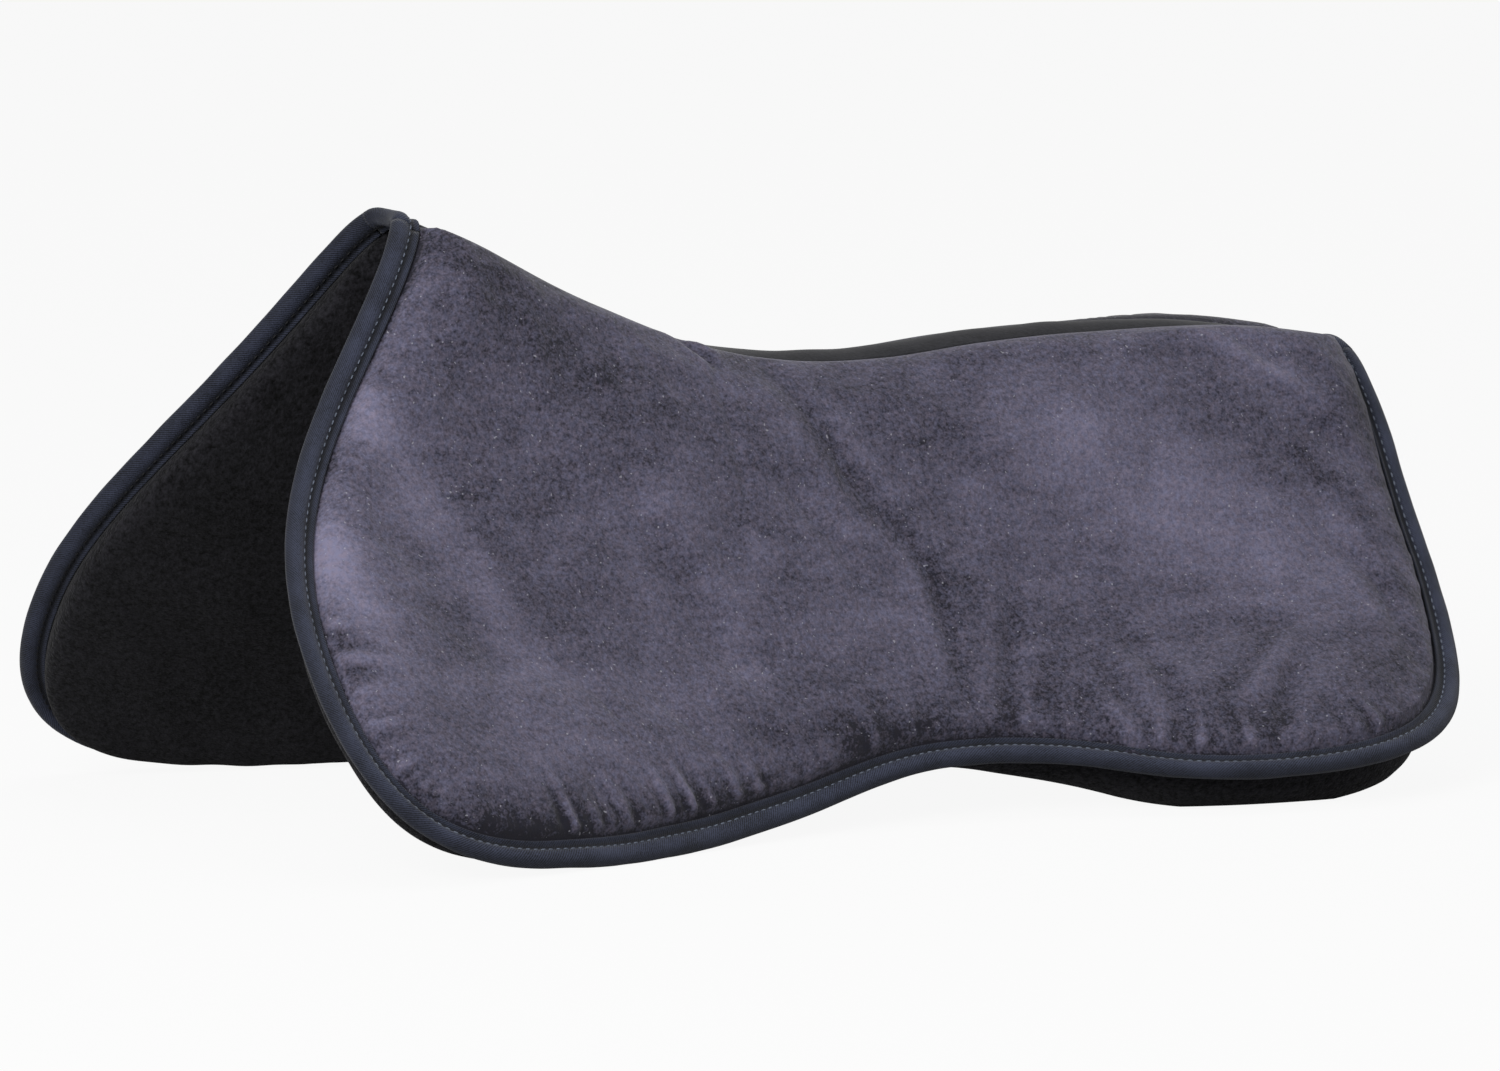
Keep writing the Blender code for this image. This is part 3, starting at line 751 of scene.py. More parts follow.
class SurfaceEffects:
    """Node groups for the textures that more than one finish has."""

    def __init__(self) -> None:
        """Builds the two groups."""
        self.fibres = self._fibres()
        self.twill = self._twill()

    @staticmethod
    def _fibres() -> NodeTree:
        """Short pile: clumps of fibres, and the fine specks of their tips."""
        sheet, start, end = new_group(
            "ShaderNodeTree", "fibre_pile", {"Vector": None, "Clump Size": 0.002, "Speck Size": 0.0007},
            ("Clumps", "Specks", "Height"))
        values = []
        for name, detail, roughness in (("Clump", 2.0, 0.6), ("Speck", 1.0, 0.5)):
            scale = sheet.math("DIVIDE", 1.0, start.outputs[f"{name} Size"])
            values.append(sheet.noise(start.outputs["Vector"], scale, detail, roughness))
        clumps, specks = values
        sheet.join(end, Clumps=sheet.spread(clumps, 0.3, 0.7), Specks=sheet.spread(specks, 0.3, 0.7),
                   Height=sheet.weighted((clumps, 0.65), (specks, 0.35)))
        return sheet.tree

    @staticmethod
    def _twill() -> NodeTree:
        """Slanting ribs of a twill weave, with the single threads across them."""
        sheet, start, end = new_group(
            "ShaderNodeTree", "twill_ribs", {"Vector": None, "Pitch": 0.0012}, ("Ribs", "Height"))
        x, y = sheet.add("ShaderNodeSeparateXYZ", {0: start.outputs["Vector"]}).outputs[:2]
        wobble = sheet.noise(start.outputs["Vector"], 260.0, 1.0)
        ribs, threads = (
            sheet.math("SINE", sheet.math("MULTIPLY", sheet.math("DIVIDE", line, start.outputs["Pitch"]),
                                          FULL_TURN))
            for line in (sheet.weighted((x, 1.0), (y, 1.15), (wobble, 0.0006)),
                         sheet.math("SUBTRACT", y, x)))
        sheet.join(end, Ribs=sheet.math("ADD", sheet.weighted((ribs, 0.5)), 0.5),
                   Height=sheet.math("ADD", sheet.weighted((ribs, 0.4), (threads, 0.1)), 0.5))
        return sheet.tree


@dataclass(frozen=True)
class Finish:
    """What every finish has: its material's name, colours, roughness and sheen."""

    name: str
    dark: Colour
    light: Colour
    roughness: float = 0.9
    sheen: float = 0.0
    sheen_roughness: float = 0.4
    bump_height: float = 0.0002
    shine: float = 0.25

    def begin(self) -> tuple[Material, NodeSheet, Node]:
        """A material with its shader's plain values set."""
        made = bpy.data.materials.new(self.name)
        made.use_nodes = True
        shader = made.node_tree.nodes["Principled BSDF"]
        for name, value in (("Base Color", self.dark), ("Roughness", self.roughness),
                            ("Sheen Weight", self.sheen),
                            ("Sheen Roughness", self.sheen_roughness), ("Specular IOR Level", self.shine)):
            shader.inputs[name].default_value = value
        return made, NodeSheet(made.node_tree), shader

    def finish_with(self, sheet: NodeSheet, shader: Node, colour: NodeSocket, height: NodeSocket) -> None:
        """Joins the colour and the bump to the shader."""
        bump = sheet.add("ShaderNodeBump", {"Height": height, "Distance": self.bump_height})
        sheet.join(shader, Base_Color=colour, Normal=bump.outputs["Normal"])


@dataclass(frozen=True)
class PileFinish(Finish):
    """Fleece, plain close cloth, foam or thread: fine fibres that clump, and a slow change of tone."""

    clump_size: float = 0.00288
    speck_size: float = 0.0012
    tone_size: float = 1 / 35
    weights: tuple[float, float, float] = (0.35, 0.35, 0.4)
    reach: tuple[float, float] = (0.15, 0.95)

    def material(self, effects: SurfaceEffects) -> Material:
        """Builds the material."""
        made, sheet, shader = self.begin()
        place = sheet.place()
        pile = sheet.add("ShaderNodeGroup", {
            "Vector": place, "Clump Size": self.clump_size, "Speck Size": self.speck_size,
        }, node_tree=effects.fibres).outputs
        tone = sheet.noise(place, 1 / self.tone_size, 3.0)
        shade = sheet.weighted(*zip((pile["Clumps"], pile["Specks"], tone), self.weights))
        colour = sheet.mix(sheet.spread(shade, *self.reach), self.dark, self.light)
        self.finish_with(sheet, shader, colour, pile["Height"])
        return made


@dataclass(frozen=True)
class SuedeFinish(Finish):
    """Brushed microsuede: soft nap marks over fine fibres, and painted light and shade that the piece's
    values give.
    """

    # Weight of the nap values, which hold brushed nap, painted light and painted shade.
    nap_depth: float = 1.35
    mark_size: float = 0.055
    stroke_size: float = 0.012
    cool_tint: Colour = (0.82, 0.96, 1.22, 1.0)
    warm_tint: Colour = (1.28, 1.00, 0.90, 1.0)
    lint_colour: Colour = (0.32, 0.32, 0.36, 1.0)

    def material(self, effects: SurfaceEffects) -> Material:
        """Builds the material, which reads the piece's nap with its painted light and shade, its seam values,
        and the painted shade in the groove by the tape.
        """
        made, sheet, shader = self.begin()
        place = sheet.place()
        marks = sheet.noise(place, 1 / self.mark_size, 4.0, 0.62, 0.5)
        turned = sheet.add("ShaderNodeMapping", {"Vector": place, "Rotation": (0.0, math.radians(35), 0.0),
                                                 "Scale": (0.35, 1.0, 1.0)})
        strokes = sheet.noise(turned.outputs[0], 1 / self.stroke_size, 3.0, 0.6)
        pile = sheet.add("ShaderNodeGroup", {"Vector": place, "Clump Size": 0.0022, "Speck Size": 0.0010},
                         node_tree=effects.fibres).outputs
        # Painted shade from the groove value darkens the suede beside the tape.
        shade = sheet.weighted(
            (sheet.stored("nap"), self.nap_depth), (sheet.spread(marks, 0.32, 0.68), 0.44),
            (sheet.spread(strokes, 0.3, 0.7), 0.32), (pile["Clumps"], 0.60), (pile["Specks"], 0.46),
            (sheet.stored("seam"), 0.20), (sheet.stored("groove"), -0.70))
        colour = sheet.mix(sheet.spread(shade, 0.29, 2.09), self.dark, self.light)
        hues = sheet.spread(sheet.noise(place, 420.0, 2.0), 0.35, 0.65)
        colour = sheet.mix(0.24, colour, sheet.mix(hues, self.cool_tint, self.warm_tint), "MULTIPLY")
        lint = sheet.math("MULTIPLY", sheet.spread(sheet.noise(place, 700.0, 0.0), 0.80, 0.84), 0.5)
        self.finish_with(sheet, shader, sheet.mix(lint, colour, self.lint_colour), pile["Height"])
        return made


@dataclass(frozen=True)
class TwillFinish(Finish):
    """Woven twill tape, its ribs slanting along its length."""

    pitch: float = 0.0014
    # Near-black colour of the painted shade in the tape's folds and edges.
    valley_colour: Colour = (0.0015, 0.0017, 0.0024, 1.0)

    def material(self, effects: SurfaceEffects) -> Material:
        """Builds the material, which reads the tape's length and width from its UV map, and its painted shade
        from the piece's values.
        """
        made, sheet, shader = self.begin()
        run = sheet.add("ShaderNodeUVMap", uv_map="tape").outputs[0]
        place = sheet.place()
        twill = sheet.add("ShaderNodeGroup", {"Vector": run, "Pitch": self.pitch},
                          node_tree=effects.twill).outputs
        shade = sheet.weighted(
            (twill["Ribs"], 0.85), (sheet.spread(sheet.noise(place, 60.0, 4.0, 0.65), 0.34, 0.66), 0.50),
            (sheet.spread(sheet.noise(place, 1400.0, 1.0), 0.3, 0.7), 0.55))
        colour = sheet.mix(sheet.spread(shade, 0.29, 1.42), self.dark, self.light)
        # Painted shade from the piece's values pulls the twill towards that colour.
        valley = sheet.math("MULTIPLY", sheet.stored("valley"), 0.88)
        self.finish_with(sheet, shader, sheet.mix(valley, colour, self.valley_colour), twill["Height"])
        return made


class Wardrobe:
    """Every material of the pad, built once."""

    def __init__(self) -> None:
        """Builds the node groups and the materials."""
        effects = SurfaceEffects()
        self.suede = SuedeFinish(
            "brushed_suede", (0.011, 0.0107, 0.0165, 1.0), (0.156, 0.148, 0.214, 1.0), 0.92, 0.14, 0.45,
            0.00040, 0.15).material(effects)
        self.fleece = PileFinish(
            "black_fleece", (0.0004, 0.0004, 0.0005, 1.0), (0.0190, 0.0185, 0.0225, 1.0), 0.95, 0.045, 0.5,
            0.0016, 0.10, 0.0026, 0.0012, 1 / 22, (0.7, 0.35, 0.35), (0.25, 1.35)).material(effects)
        self.twill = TwillFinish(
            "slate_twill", (0.0026, 0.0034, 0.0062, 1.0), (0.036, 0.042, 0.070, 1.0), 0.8, 0.10, 0.4,
            0.00016, 0.20).material(effects)
        self.strip = PileFinish(
            "charcoal_cloth", (0.0065, 0.0065, 0.0078, 1.0), (0.021, 0.021, 0.025, 1.0), 0.9, 0.10, 0.4,
            0.0002, 0.15).material(effects)
        self.thread = PileFinish(
            "slate_thread", (0.044, 0.053, 0.073, 1.0), (0.145, 0.166, 0.215, 1.0), 0.6, 0.0, 0.4,
            0.0001, 0.25, 0.00144, 0.0006).material(effects)
        self.under_thread = PileFinish(
            "black_thread", (0.004, 0.004, 0.005, 1.0), (0.014, 0.014, 0.016, 1.0), 0.7, 0.0, 0.4,
            0.0001, 0.20, 0.00144, 0.0006).material(effects)
        self.foam = PileFinish(
            "grey_foam", (0.35, 0.35, 0.33, 1.0), (0.62, 0.62, 0.58, 1.0), 0.95, 0.0, 0.4,
            0.0004, 0.25, 0.00384, 0.0016).material(effects)


# Sub-assemblies


class WingLook:
    """Creases, gathers and nap marks of one wing's suede, with patches of painted light and painted shade."""

    def __init__(self, seed: int, creases: tuple, puckers: tuple, nap: tuple) -> None:
        """Reads the marks from rows of numbers, in millimetres of the flat cut.

        Args:
            seed: Number that the small gathers and waves come from.
            creases: A row each: height, width, then place and drop of each point.
            puckers: A row each: place, drop, height, width and reach.
            nap: A row each: place, drop, two radii, turn in degrees, and shade; brushed nap, painted light
                and painted shade.
        """
        self.seed = seed
        self.creases = [Crease(np.array(points).reshape(-1, 2) / 1000, height / 1000, width / 1000)
                        for height, width, *points in creases]
        self.puckers = [Pucker((x / 1000, drop / 1000), height / 1000, width / 1000, reach / 1000)
                        for x, drop, height, width, reach in puckers]
        self.nap = [NapPatch((x / 1000, drop / 1000), (a / 1000, b / 1000), turn, shade)
                    for x, drop, a, b, turn, shade in nap]


NEAR_LOOK = WingLook(
    11,
    (
        (-1.4, 4.2, 24, 101, 34, 114, 38, 130, 38, 154, 36, 182),
        (-1.4, 5, 80, 122, 72, 150, 60, 180, 52, 200),
        (-1.6, 5.8, -18, 26, -6, 50, 4, 70, 18, 93, 34, 113), (-1, 4.2, -30, 83, -16, 98, -4, 115, 0, 134),
        (-3.4, 3, -56, 20, -50, 26, -43, 34), (2.2, 4.2, 198, 180, 176, 202, 152, 224),
        (-2.1, 3.8, 188, 206, 174, 224, 162, 244), (1.4, 3.4, 198, 26, 222, 42, 250, 58),
        (-1.4, 5, 120, 165, 130, 200, 124, 232), (-1, 8.5, -100, 120, -85, 160, -90, 205),
        (-1.4, 5, 238, 120, 252, 150, 250, 185), (1.4, 4, 96, 200, 102, 218, 100, 236),
    ),
    (
        (-270, 223, 0.8, 3.4, 9), (-272, 241, 1.5, 3.6, 16), (-276, 258, 0.8, 2.6, 8),
        (-270, 274, 1.1, 3.4, 11), (-262, 292, 1.2, 2.8, 12), (-182, 306, 2.2, 3, 16),
        (-168, 300, 1.2, 2.6, 10), (-152, 290, 1.4, 3.4, 12), (-128, 274, 1.7, 2.6, 14),
        (-116, 266, 2.1, 2.6, 16), (-104, 260, 1.4, 2.6, 11), (-90, 250, 1.3, 2.8, 11),
        (-76, 244, 1.2, 2.8, 10), (110, 236, 1, 3.5, 14), (-14, 204, 0.5, 3.2, 18), (4, 202, 0.4, 3, 14),
        (42, 208, 0.4, 3.4, 18), (58, 213, 0.6, 3.4, 26), (74, 218, 0.3, 3, 14), (128, 240, 1.4, 3, 12),
        (150, 245, 1, 3.4, 14), (166, 246, 0.9, 3, 10), (216, 242, 1.2, 3, 12),
    ),
    # Nap rows: brushed nap marks, with painted light down the front edge and over the rear, and painted shade
    # along the hem where it turns under.
    (
        (-224, 112, 13, 90, -22, 0.42), (-262, 190, 14, 50, -12, 0.76), (-205, 75, 16, 50, -20, 0.12),
        (-150, 262, 80, 30, -15, 0.18), (126, 80, 55, 32, 30, 0.42), (180, 115, 60, 34, 25, 0.24),
        (215, 150, 45, 20, 20, 0.14), (-90, 150, 60, 50, 20, 0.06), (-200, 310, 70, 9, -8, -0.40),
        (-110, 262, 60, 9, -28, -0.36), (0, 200, 60, 12, -6, -0.28), (276, 90, 8, 60, 0, -0.10),
        (264, 180, 8, 30, 8, -0.06), (-110, 60, 60, 22, 20, -0.18), (-150, 30, 60, 14, 0, -0.14),
        (20, 28, 80, 10, 0, -0.10), (40, 130, 10, 50, 5, -0.18), (90, 160, 22, 50, 0, -0.14),
        (170, 228, 50, 14, 0, -0.22), (50, 50, 30, 20, 10, -0.10), (-20, 120, 40, 30, 30, 0.06),
        (280, 24, 7, 7, 0, 0.45), (236, 45, 20, 5, 25, 0.20), (-160, 220, 50, 30, 10, 0.06),
        (214, 90, 30, 12, 70, -0.12), (110, 110, 16, 30, -20, -0.10), (240, 91, 26, 7, 53, -0.28),
        (263, 148, 16, 5, 78, -0.30), (269, 134, 14, 5, 75, 0.16), (243, 118, 16, 8, 60, 0.12),
        (266, 98, 20, 7, 75, 0.12), (207, 118, 22, 20, 0, 0.12), (240, 200, 20, 30, 30, -0.16),
        (60, 200, 30, 12, 0, -0.14),
    ),
)

FAR_LOOK = WingLook(
    29,
    (
        (-1.2, 5.5, 30, 90, 40, 120, 36, 150), (-1.2, 6.5, -30, 40, -12, 64, 10, 86),
        (-0.8, 7, -150, 60, -160, 100, -182, 136), (-1, 5, 150, 150, 176, 178, 200, 214),
        (0.9, 4, 214, 40, 232, 66, 256, 82), (-0.8, 6, -60, 160, -50, 190, -58, 216),
    ),
    (
        (-280, 232, 1.4, 3, 12), (-262, 290, 1.4, 3, 12), (-200, 318, 1.6, 3, 14), (-140, 284, 1.5, 3, 14),
        (-100, 256, 1.3, 3, 12), (120, 240, 1.3, 3.2, 14), (180, 248, 1.5, 3.2, 16),
        (240, 228, 1.2, 3, 12),
    ),
    # Nap rows: brushed nap marks; the dark patch at place 200, drop 20 is painted shade on the far wing by
    # the rear seam.
    (
        (-230, 140, 18, 60, -18, 0.26), (150, 110, 60, 30, 25, 0.20), (-60, 110, 50, 40, 0, -0.14),
        (60, 160, 30, 50, 10, -0.16), (-180, 296, 70, 16, -8, -0.34), (180, 222, 60, 14, 0, -0.24),
        (270, 110, 12, 60, 0, -0.24), (-130, 200, 50, 30, 20, 0.10), (220, 60, 30, 14, 20, 0.14),
        (-130, 50, 60, 18, 10, -0.14), (200, 20, 80, 14, 0, -0.60),
    ),
)


class Wing:
    """One wing: suede cover, foam core and fleece lining, made on the right and mirrored to the left."""

    LINING_REACH = 0.060
    LINING_PROFILE: Stations = (
        (-0.0040, -0.0040), (0.0, 0.0003), (0.002, -0.0006), (0.004, -0.0012), (0.006, -0.0007),
        (0.009, 0.0022), (0.014, 0.0090), (0.022, 0.0190), (0.040, 0.0385), (0.060, 0.060))
    LINING_SHARE: Stations = (
        (-0.0040, 0.0), (0.0, 0.0), (0.002, 0.24), (0.004, 0.50), (0.006, 0.74), (0.009, 0.905),
        (0.014, 0.972), (0.022, 0.995), (0.040, 1.0), (0.060, 1.0))
    UNDER_TAPE = 0.0034
    GROOVE = (0.0003, 0.0030)
    HELD_BY_TAPE, HELD_BY_SEAM = 0.0035, 0.006
    SEAM_FADE = (0.0, 0.004)
    # Shares of nap that paint light on crease ridges, shade in crease hollows, and light and shade on
    # gathers.
    FULL_FOLD, FOLD_SHADES = 0.0014, (0.30, 0.17, 0.58)
    # The seam mark lightens the suede by the spine seam; the groove span is where painted shade falls by the
    # tape.
    SEAM_MARK, GROOVE_MARK = (0.0, 0.0022), (0.0002, 0.0020)
    FOAM_INSET, FOAM_SPACING, FOAM_BANDS = 0.0046, 0.008, (0.0070, 0.0110)
    FOAM_CLEARANCE, FOAM_LEAST, FOAM_SHARE, FOAM_HEM = 0.0016, 0.0002, 0.92, 0.0006

    def __init__(self, pad: FoldedPad, looks: dict[Side, WingLook], spacing: float,
                 edge_spacing: float) -> None:
        """Cuts the cloth and shapes the three layers.

        Args:
            pad: The pad's sizes.
            looks: Creases and nap of each side.
            spacing: Distance between cloth points over the middle.
            edge_spacing: Distance between cloth points along the tape.
        """
        self.pad = pad
        self.looks = looks
        self.outline = Outline(pad, edge_spacing)
        self.cloth = CutCloth(self.outline, self.UNDER_TAPE, spacing)
        LOG.info("wing cloth: %d points", len(self.cloth.plan))
        self.hem = pad.place(self.cloth.plan, pad.fit / 2 + pad.suede_thickness)
        self.full = self._swollen()
        self.creases = {side: self._creases(side) for side in Side}
        self.gathers = {side: self._gathers(side) for side in Side}
        self.suede_bodies = {side: self._suede(side) for side in Side}
        self.lining_body = self._lining()
        self.foam_body = self._foam()

    def _swollen(self) -> Array:
        """The suede's outer corners after it has swelled over the foam, before creases."""
        pad, cloth = self.pad, self.cloth
        height = pad.crown(cloth.plan, cloth.by_tape, cloth.by_seam)
        height *= smooth_step(cloth.by_tape, *self.GROOVE)
        smooth = pad.place(cloth.plan, pad.fit / 2 + pad.suede_thickness + height)
        held = (cloth.depth < self.HELD_BY_TAPE) | (cloth.by_seam < self.HELD_BY_SEAM)
        return Swelling().run(smooth, cloth.faces, held)

    def _creases(self, side: Side) -> Array:
        """Height of a side's creases."""
        relief = sum(crease.relief(self.cloth.plan) for crease in self.looks[side].creases)
        return relief * smooth_step(self.cloth.by_seam, *self.SEAM_FADE)

    def _gathers(self, side: Side) -> Array:
        """Height of a side's gathers along the tape."""
        cloth, look = self.cloth, self.looks[side]
        rng = np.random.default_rng(look.seed)
        along = arc_lengths(self.outline.taped)
        gathers = list(look.puckers)
        arc = 0.05
        while arc < along[-1]:
            at = self.outline.taped[min(int(np.searchsorted(along, arc)), len(along) - 1)]
            gathers.append(Pucker((float(at[0]), float(at[1])), rng.uniform(0.0001, 0.0006),
                                  rng.uniform(0.0022, 0.0045), rng.uniform(0.006, 0.014)))
            arc += rng.uniform(0.010, 0.026)
        relief = np.zeros(len(cloth.plan))
        for gather in gathers:
            own = nearest_on(self.outline.taped, np.array([gather.at])).arc[0]
            relief += gather.relief(cloth.arc, cloth.by_tape, own)
        return relief * smooth_step(cloth.by_seam, *self.SEAM_FADE)

    def _suede(self, side: Side) -> Body:
        """Corners and faces of a side's suede cover, on the right."""
        cloth = self.cloth
        waves = waves_over(cloth.plan, self.looks[side].seed + 1, 0.030, 0.12)
        relief = self.creases[side] + self.gathers[side] + waves * smooth_step(cloth.depth, 0.004, 0.03)
        points = self.full + vertex_normals(self.full, cloth.faces) * relief[:, None]
        back = points - vertex_normals(points, cloth.faces) * self.pad.suede_thickness * 0.9
        return closed_shell(points, cloth.faces, cloth.border, back)

    def _fullness(self, cloth: CutCloth) -> Array:
        """Share of its depth that the lining reaches at each of a cloth's points."""
        depth = np.minimum(cloth.depth, self.LINING_REACH)
        return np.clip(smooth_through(self.LINING_SHARE, depth), 0.0, 1.0)

    def _lining(self) -> Body:
        """Corners and faces of the fleece lining."""
        pad, cloth = self.pad, self.cloth
        inset = smooth_through(self.LINING_PROFILE, np.minimum(cloth.depth, self.LINING_REACH))
        share = self._fullness(cloth)
        shift = np.where(cloth.depth < self.LINING_REACH, inset - cloth.depth, 0.0)
        shift *= np.maximum(smooth_step(cloth.by_seam, 0.0, 0.010), 0.35)
        plan = cloth.plan + cloth.away * shift[:, None]
        low = -pad.fit / 2 - pad.fleece_thickness
        points = pad.place(plan, low - share * (pad.padding(cloth.plan) - waves_over(plan, 5, 0.025, 0.10)))
        faces = cloth.faces[:, ::-1]
        back = points - vertex_normals(points, faces) * pad.fleece_thickness
        points[:, 2], back[:, 2] = np.maximum(points[:, 2], 0.0), np.maximum(back[:, 2], 0.0015)
        return closed_shell(points, faces, cloth.border[::-1], back)

    def _foam(self) -> Body:
        """Corners and faces of the foam core, which fills the space between cover and lining."""
        pad = self.pad
        cloth = CutCloth(self.outline, -self.FOAM_INSET, self.FOAM_SPACING, self.FOAM_BANDS)
        tree = KDTree(len(self.cloth.plan))
        for k, (x, drop) in enumerate(self.cloth.plan.tolist()):
            tree.insert((x, drop, 0.0), k)
        tree.balance()
        rise = np.minimum(*(np.linalg.norm(points[:len(self.hem)] - self.hem, axis=1)
                            for points, _ in self.suede_bodies.values()))
        below = np.array([min(rise[k] for _, k, _ in tree.find_n((x, drop, 0.0), 12))
                          for x, drop in cloth.plan.tolist()])
        upper = pad.place(cloth.plan, np.maximum(below - self.FOAM_CLEARANCE, self.FOAM_LEAST))
        depth = self._fullness(cloth) * pad.padding(cloth.plan) * self.FOAM_SHARE
        return closed_shell(upper, cloth.faces, cloth.border, pad.place(cloth.plan, self.FOAM_HEM - depth))

    def _marks(self, side: Side) -> dict[str, Array]:
        """Values for the suede's material: nap with painted light and shade, the seam, and painted shade in
        the groove.
        """
        cloth = self.cloth
        nap = sum(patch.mask(cloth.plan) for patch in self.looks[side].nap)
        # Creases and gathers add painted light on their ridges and painted shade in their hollows.
        creases, gathers = (np.tanh(folds[side] / self.FULL_FOLD) for folds in (self.creases, self.gathers))
        ridge, hollow, gather = self.FOLD_SHADES
        return {"nap": nap + np.where(creases > 0, ridge, hollow) * creases + gather * gathers,
                "seam": 1 - smooth_step(cloth.by_seam, *self.SEAM_MARK),
                # Painted shade in the groove where the suede dips beside the tape.
                "groove": 1 - smooth_step(cloth.by_tape, *self.GROOVE_MARK)}

    def dress(self, side: Side, wardrobe: Wardrobe) -> list[Object]:
        """Makes this side's three pieces, in their materials and on their body."""
        made = []
        kinds = (("suede_cover", self.suede_bodies[side], wardrobe.suede, "suede", 0.8),
                 ("fleece_lining", self.lining_body, wardrobe.fleece, "fleece", 0.8),
                 ("foam_core", self.foam_body, wardrobe.foam, "foam", 1.0))
        for kind, body, material, slot, fill in kinds:
            piece = make_mesh(f"{kind}_{side.label}_soft", *(body if side is Side.RIGHT else mirrored(*body)))
            if kind == "suede_cover":
                for name, values in self._marks(side).items():
                    set_values(piece, name, np.concatenate([values, values]))
            piece.data.materials.append(material)
            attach(piece, side.body)
            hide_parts(f"{kind}_{side.label}")
            made.append(piece)
        return made


class EdgeTape:
    """Twill tape folded round the pad's edge, and the two lines of stitches that hold it."""

    UPPER: Stations = (
        (0.0112, 1.90), (0.0113, 2.30), (0.0111, 2.66), (0.0107, 2.80), (0.0103, 2.68), (0.0099, 2.30),
        (0.0093, 1.90), (0.0085, 1.78), (0.0078, 1.84), (0.0073, 2.12), (0.0069, 2.60), (0.0064, 3.10),
        (0.0057, 3.52), (0.0048, 3.76), (0.0038, 3.80), (0.0027, 3.60), (0.0017, 3.05), (0.0009, 2.20),
        (0.0003, 1.15))
    LOWER: Stations = (
        (0.0, 0.0), (0.0003, -1.15), (0.0009, -2.20), (0.0017, -3.05), (0.0027, -3.60), (0.0038, -3.80),
        (0.0049, -3.76), (0.0058, -3.58), (0.0065, -3.25), (0.0071, -2.88), (0.0078, -2.66), (0.0086, -2.60),
        (0.0094, -2.66), (0.0100, -2.98), (0.0104, -3.34), (0.0108, -3.44), (0.0112, -3.26), (0.0112, -2.70))
    # Painted shade across the tape by distance in from its edge: on the rolled outer edge, deepest in the
    # valley by the stitches, on the lip, and at the lip's edge by the suede.
    SHADE: Stations = (
        (0.0, 0.55), (0.0009, 0.48), (0.0020, 0.22), (0.0034, 0.0), (0.0062, 0.0), (0.0072, 0.30),
        (0.0078, 0.85), (0.0086, 1.0), (0.0093, 0.62), (0.0099, 0.36), (0.0107, 0.32), (0.0112, 0.75))
    STITCH_INSET, STITCH_RISE, STITCH_LOWEST = 0.0073, 0.00020, 0.0006
    END_GAP = 0.00001
    STEP = 0.0028
    LIP_INSIDE = 0.0070
    ROLL_FADE = (0.0062, 0.0080)
    UNEVENNESS = 0.00006

    def __init__(self, pad: FoldedPad, outline: Outline) -> None:
        """Args: pad: the pad's sizes. outline: the wing's edge."""
        self.pad = pad
        self.outline = outline
        throat = pad.hem_inset - pad.fit
        upper = pad.fit / 2 + pad.suede_thickness + pad.fit
        lower = -(pad.fit / 2 + pad.fleece_thickness + pad.fit)
        shell = [(d, h / 1000) for d, h in (*self.UPPER, *self.LOWER)]
        inside = [(pad.tape_width, lower), (self.LIP_INSIDE, lower), (throat, lower), (throat, upper),
                  (self.LIP_INSIDE, upper), (pad.tape_width, upper)]
        self.section = np.array(shell + inside)
        self.round_section = arc_lengths(np.vstack([self.section, self.section[:1]]))
        d = self.section[:, 0]
        # Painted shade at each station; stations that never show are fully dark.
        self.shade = np.where(np.arange(len(d)) < len(shell), np.interp(d, *np.array(self.SHADE).T), 1.0)
        self.shade[[0, len(shell) - 1]] = 1.0

    def path(self) -> tuple[Array, Array]:
        """The edge, all but touching the next length at both ends, with its inward directions."""
        arc = arc_lengths(self.outline.taped)
        at = np.linspace(self.END_GAP, arc[-1] - self.END_GAP, int(arc[-1] / self.STEP))
        line, inward = (read_along(arc, values, at) for values in (self.outline.taped, self.outline.inward))
        return line, unit(inward)

    def over_spine(self, front: bool) -> tuple[Array, Array]:
        """The edge over the spine at the front or the rear, with its inward directions."""
        pad = self.pad
        drop = np.linspace(-pad.strip_half + self.END_GAP, pad.strip_half - self.END_GAP, 17)
        if not front:
            line = np.stack([np.full(len(drop), pad.rear[0]), drop], axis=1)
            return line[::-1], np.tile([-1.0, 0.0], (len(drop), 1))
        line = np.stack([pad.pommel_end(drop), drop], axis=1)
        return line, square_to(line)

    def body(self, line: Array, inward: Array, seed: int) -> tuple[Array, list, Array]:
        """Corners, faces and tape coordinates of a length of tape along a flat line."""
        rng = np.random.default_rng(seed)
        arc = arc_lengths(line)
        uneven = sum(np.sin(arc * FULL_TURN / rng.uniform(0.012, 0.06) + rng.uniform(0, FULL_TURN))
                     for _ in range(7)) * self.UNEVENNESS
        rings = []
        for d, h in self.section:
            share = 1.0 - smooth_step(d, *self.ROLL_FADE)
            rings.append(self.pad.place(line + inward * d, h + np.sign(h) * uneven * share))
        points = np.stack(rings, axis=1).reshape(-1, 3)
        points[:, 2] = np.maximum(points[:, 2], 0.0)
        n, m = len(line), len(self.section)
        faces = [(a + k, a + m + k, a + m + (k + 1) % m, a + (k + 1) % m)
                 for a in range(0, (n - 1) * m, m) for k in range(m)]
        faces += [tuple(range(m)), tuple((n - 1) * m + k for k in reversed(range(m)))]
        run = np.stack([np.repeat(arc, m), np.tile(self.round_section[:-1], n)], axis=1)
        return points, faces, run

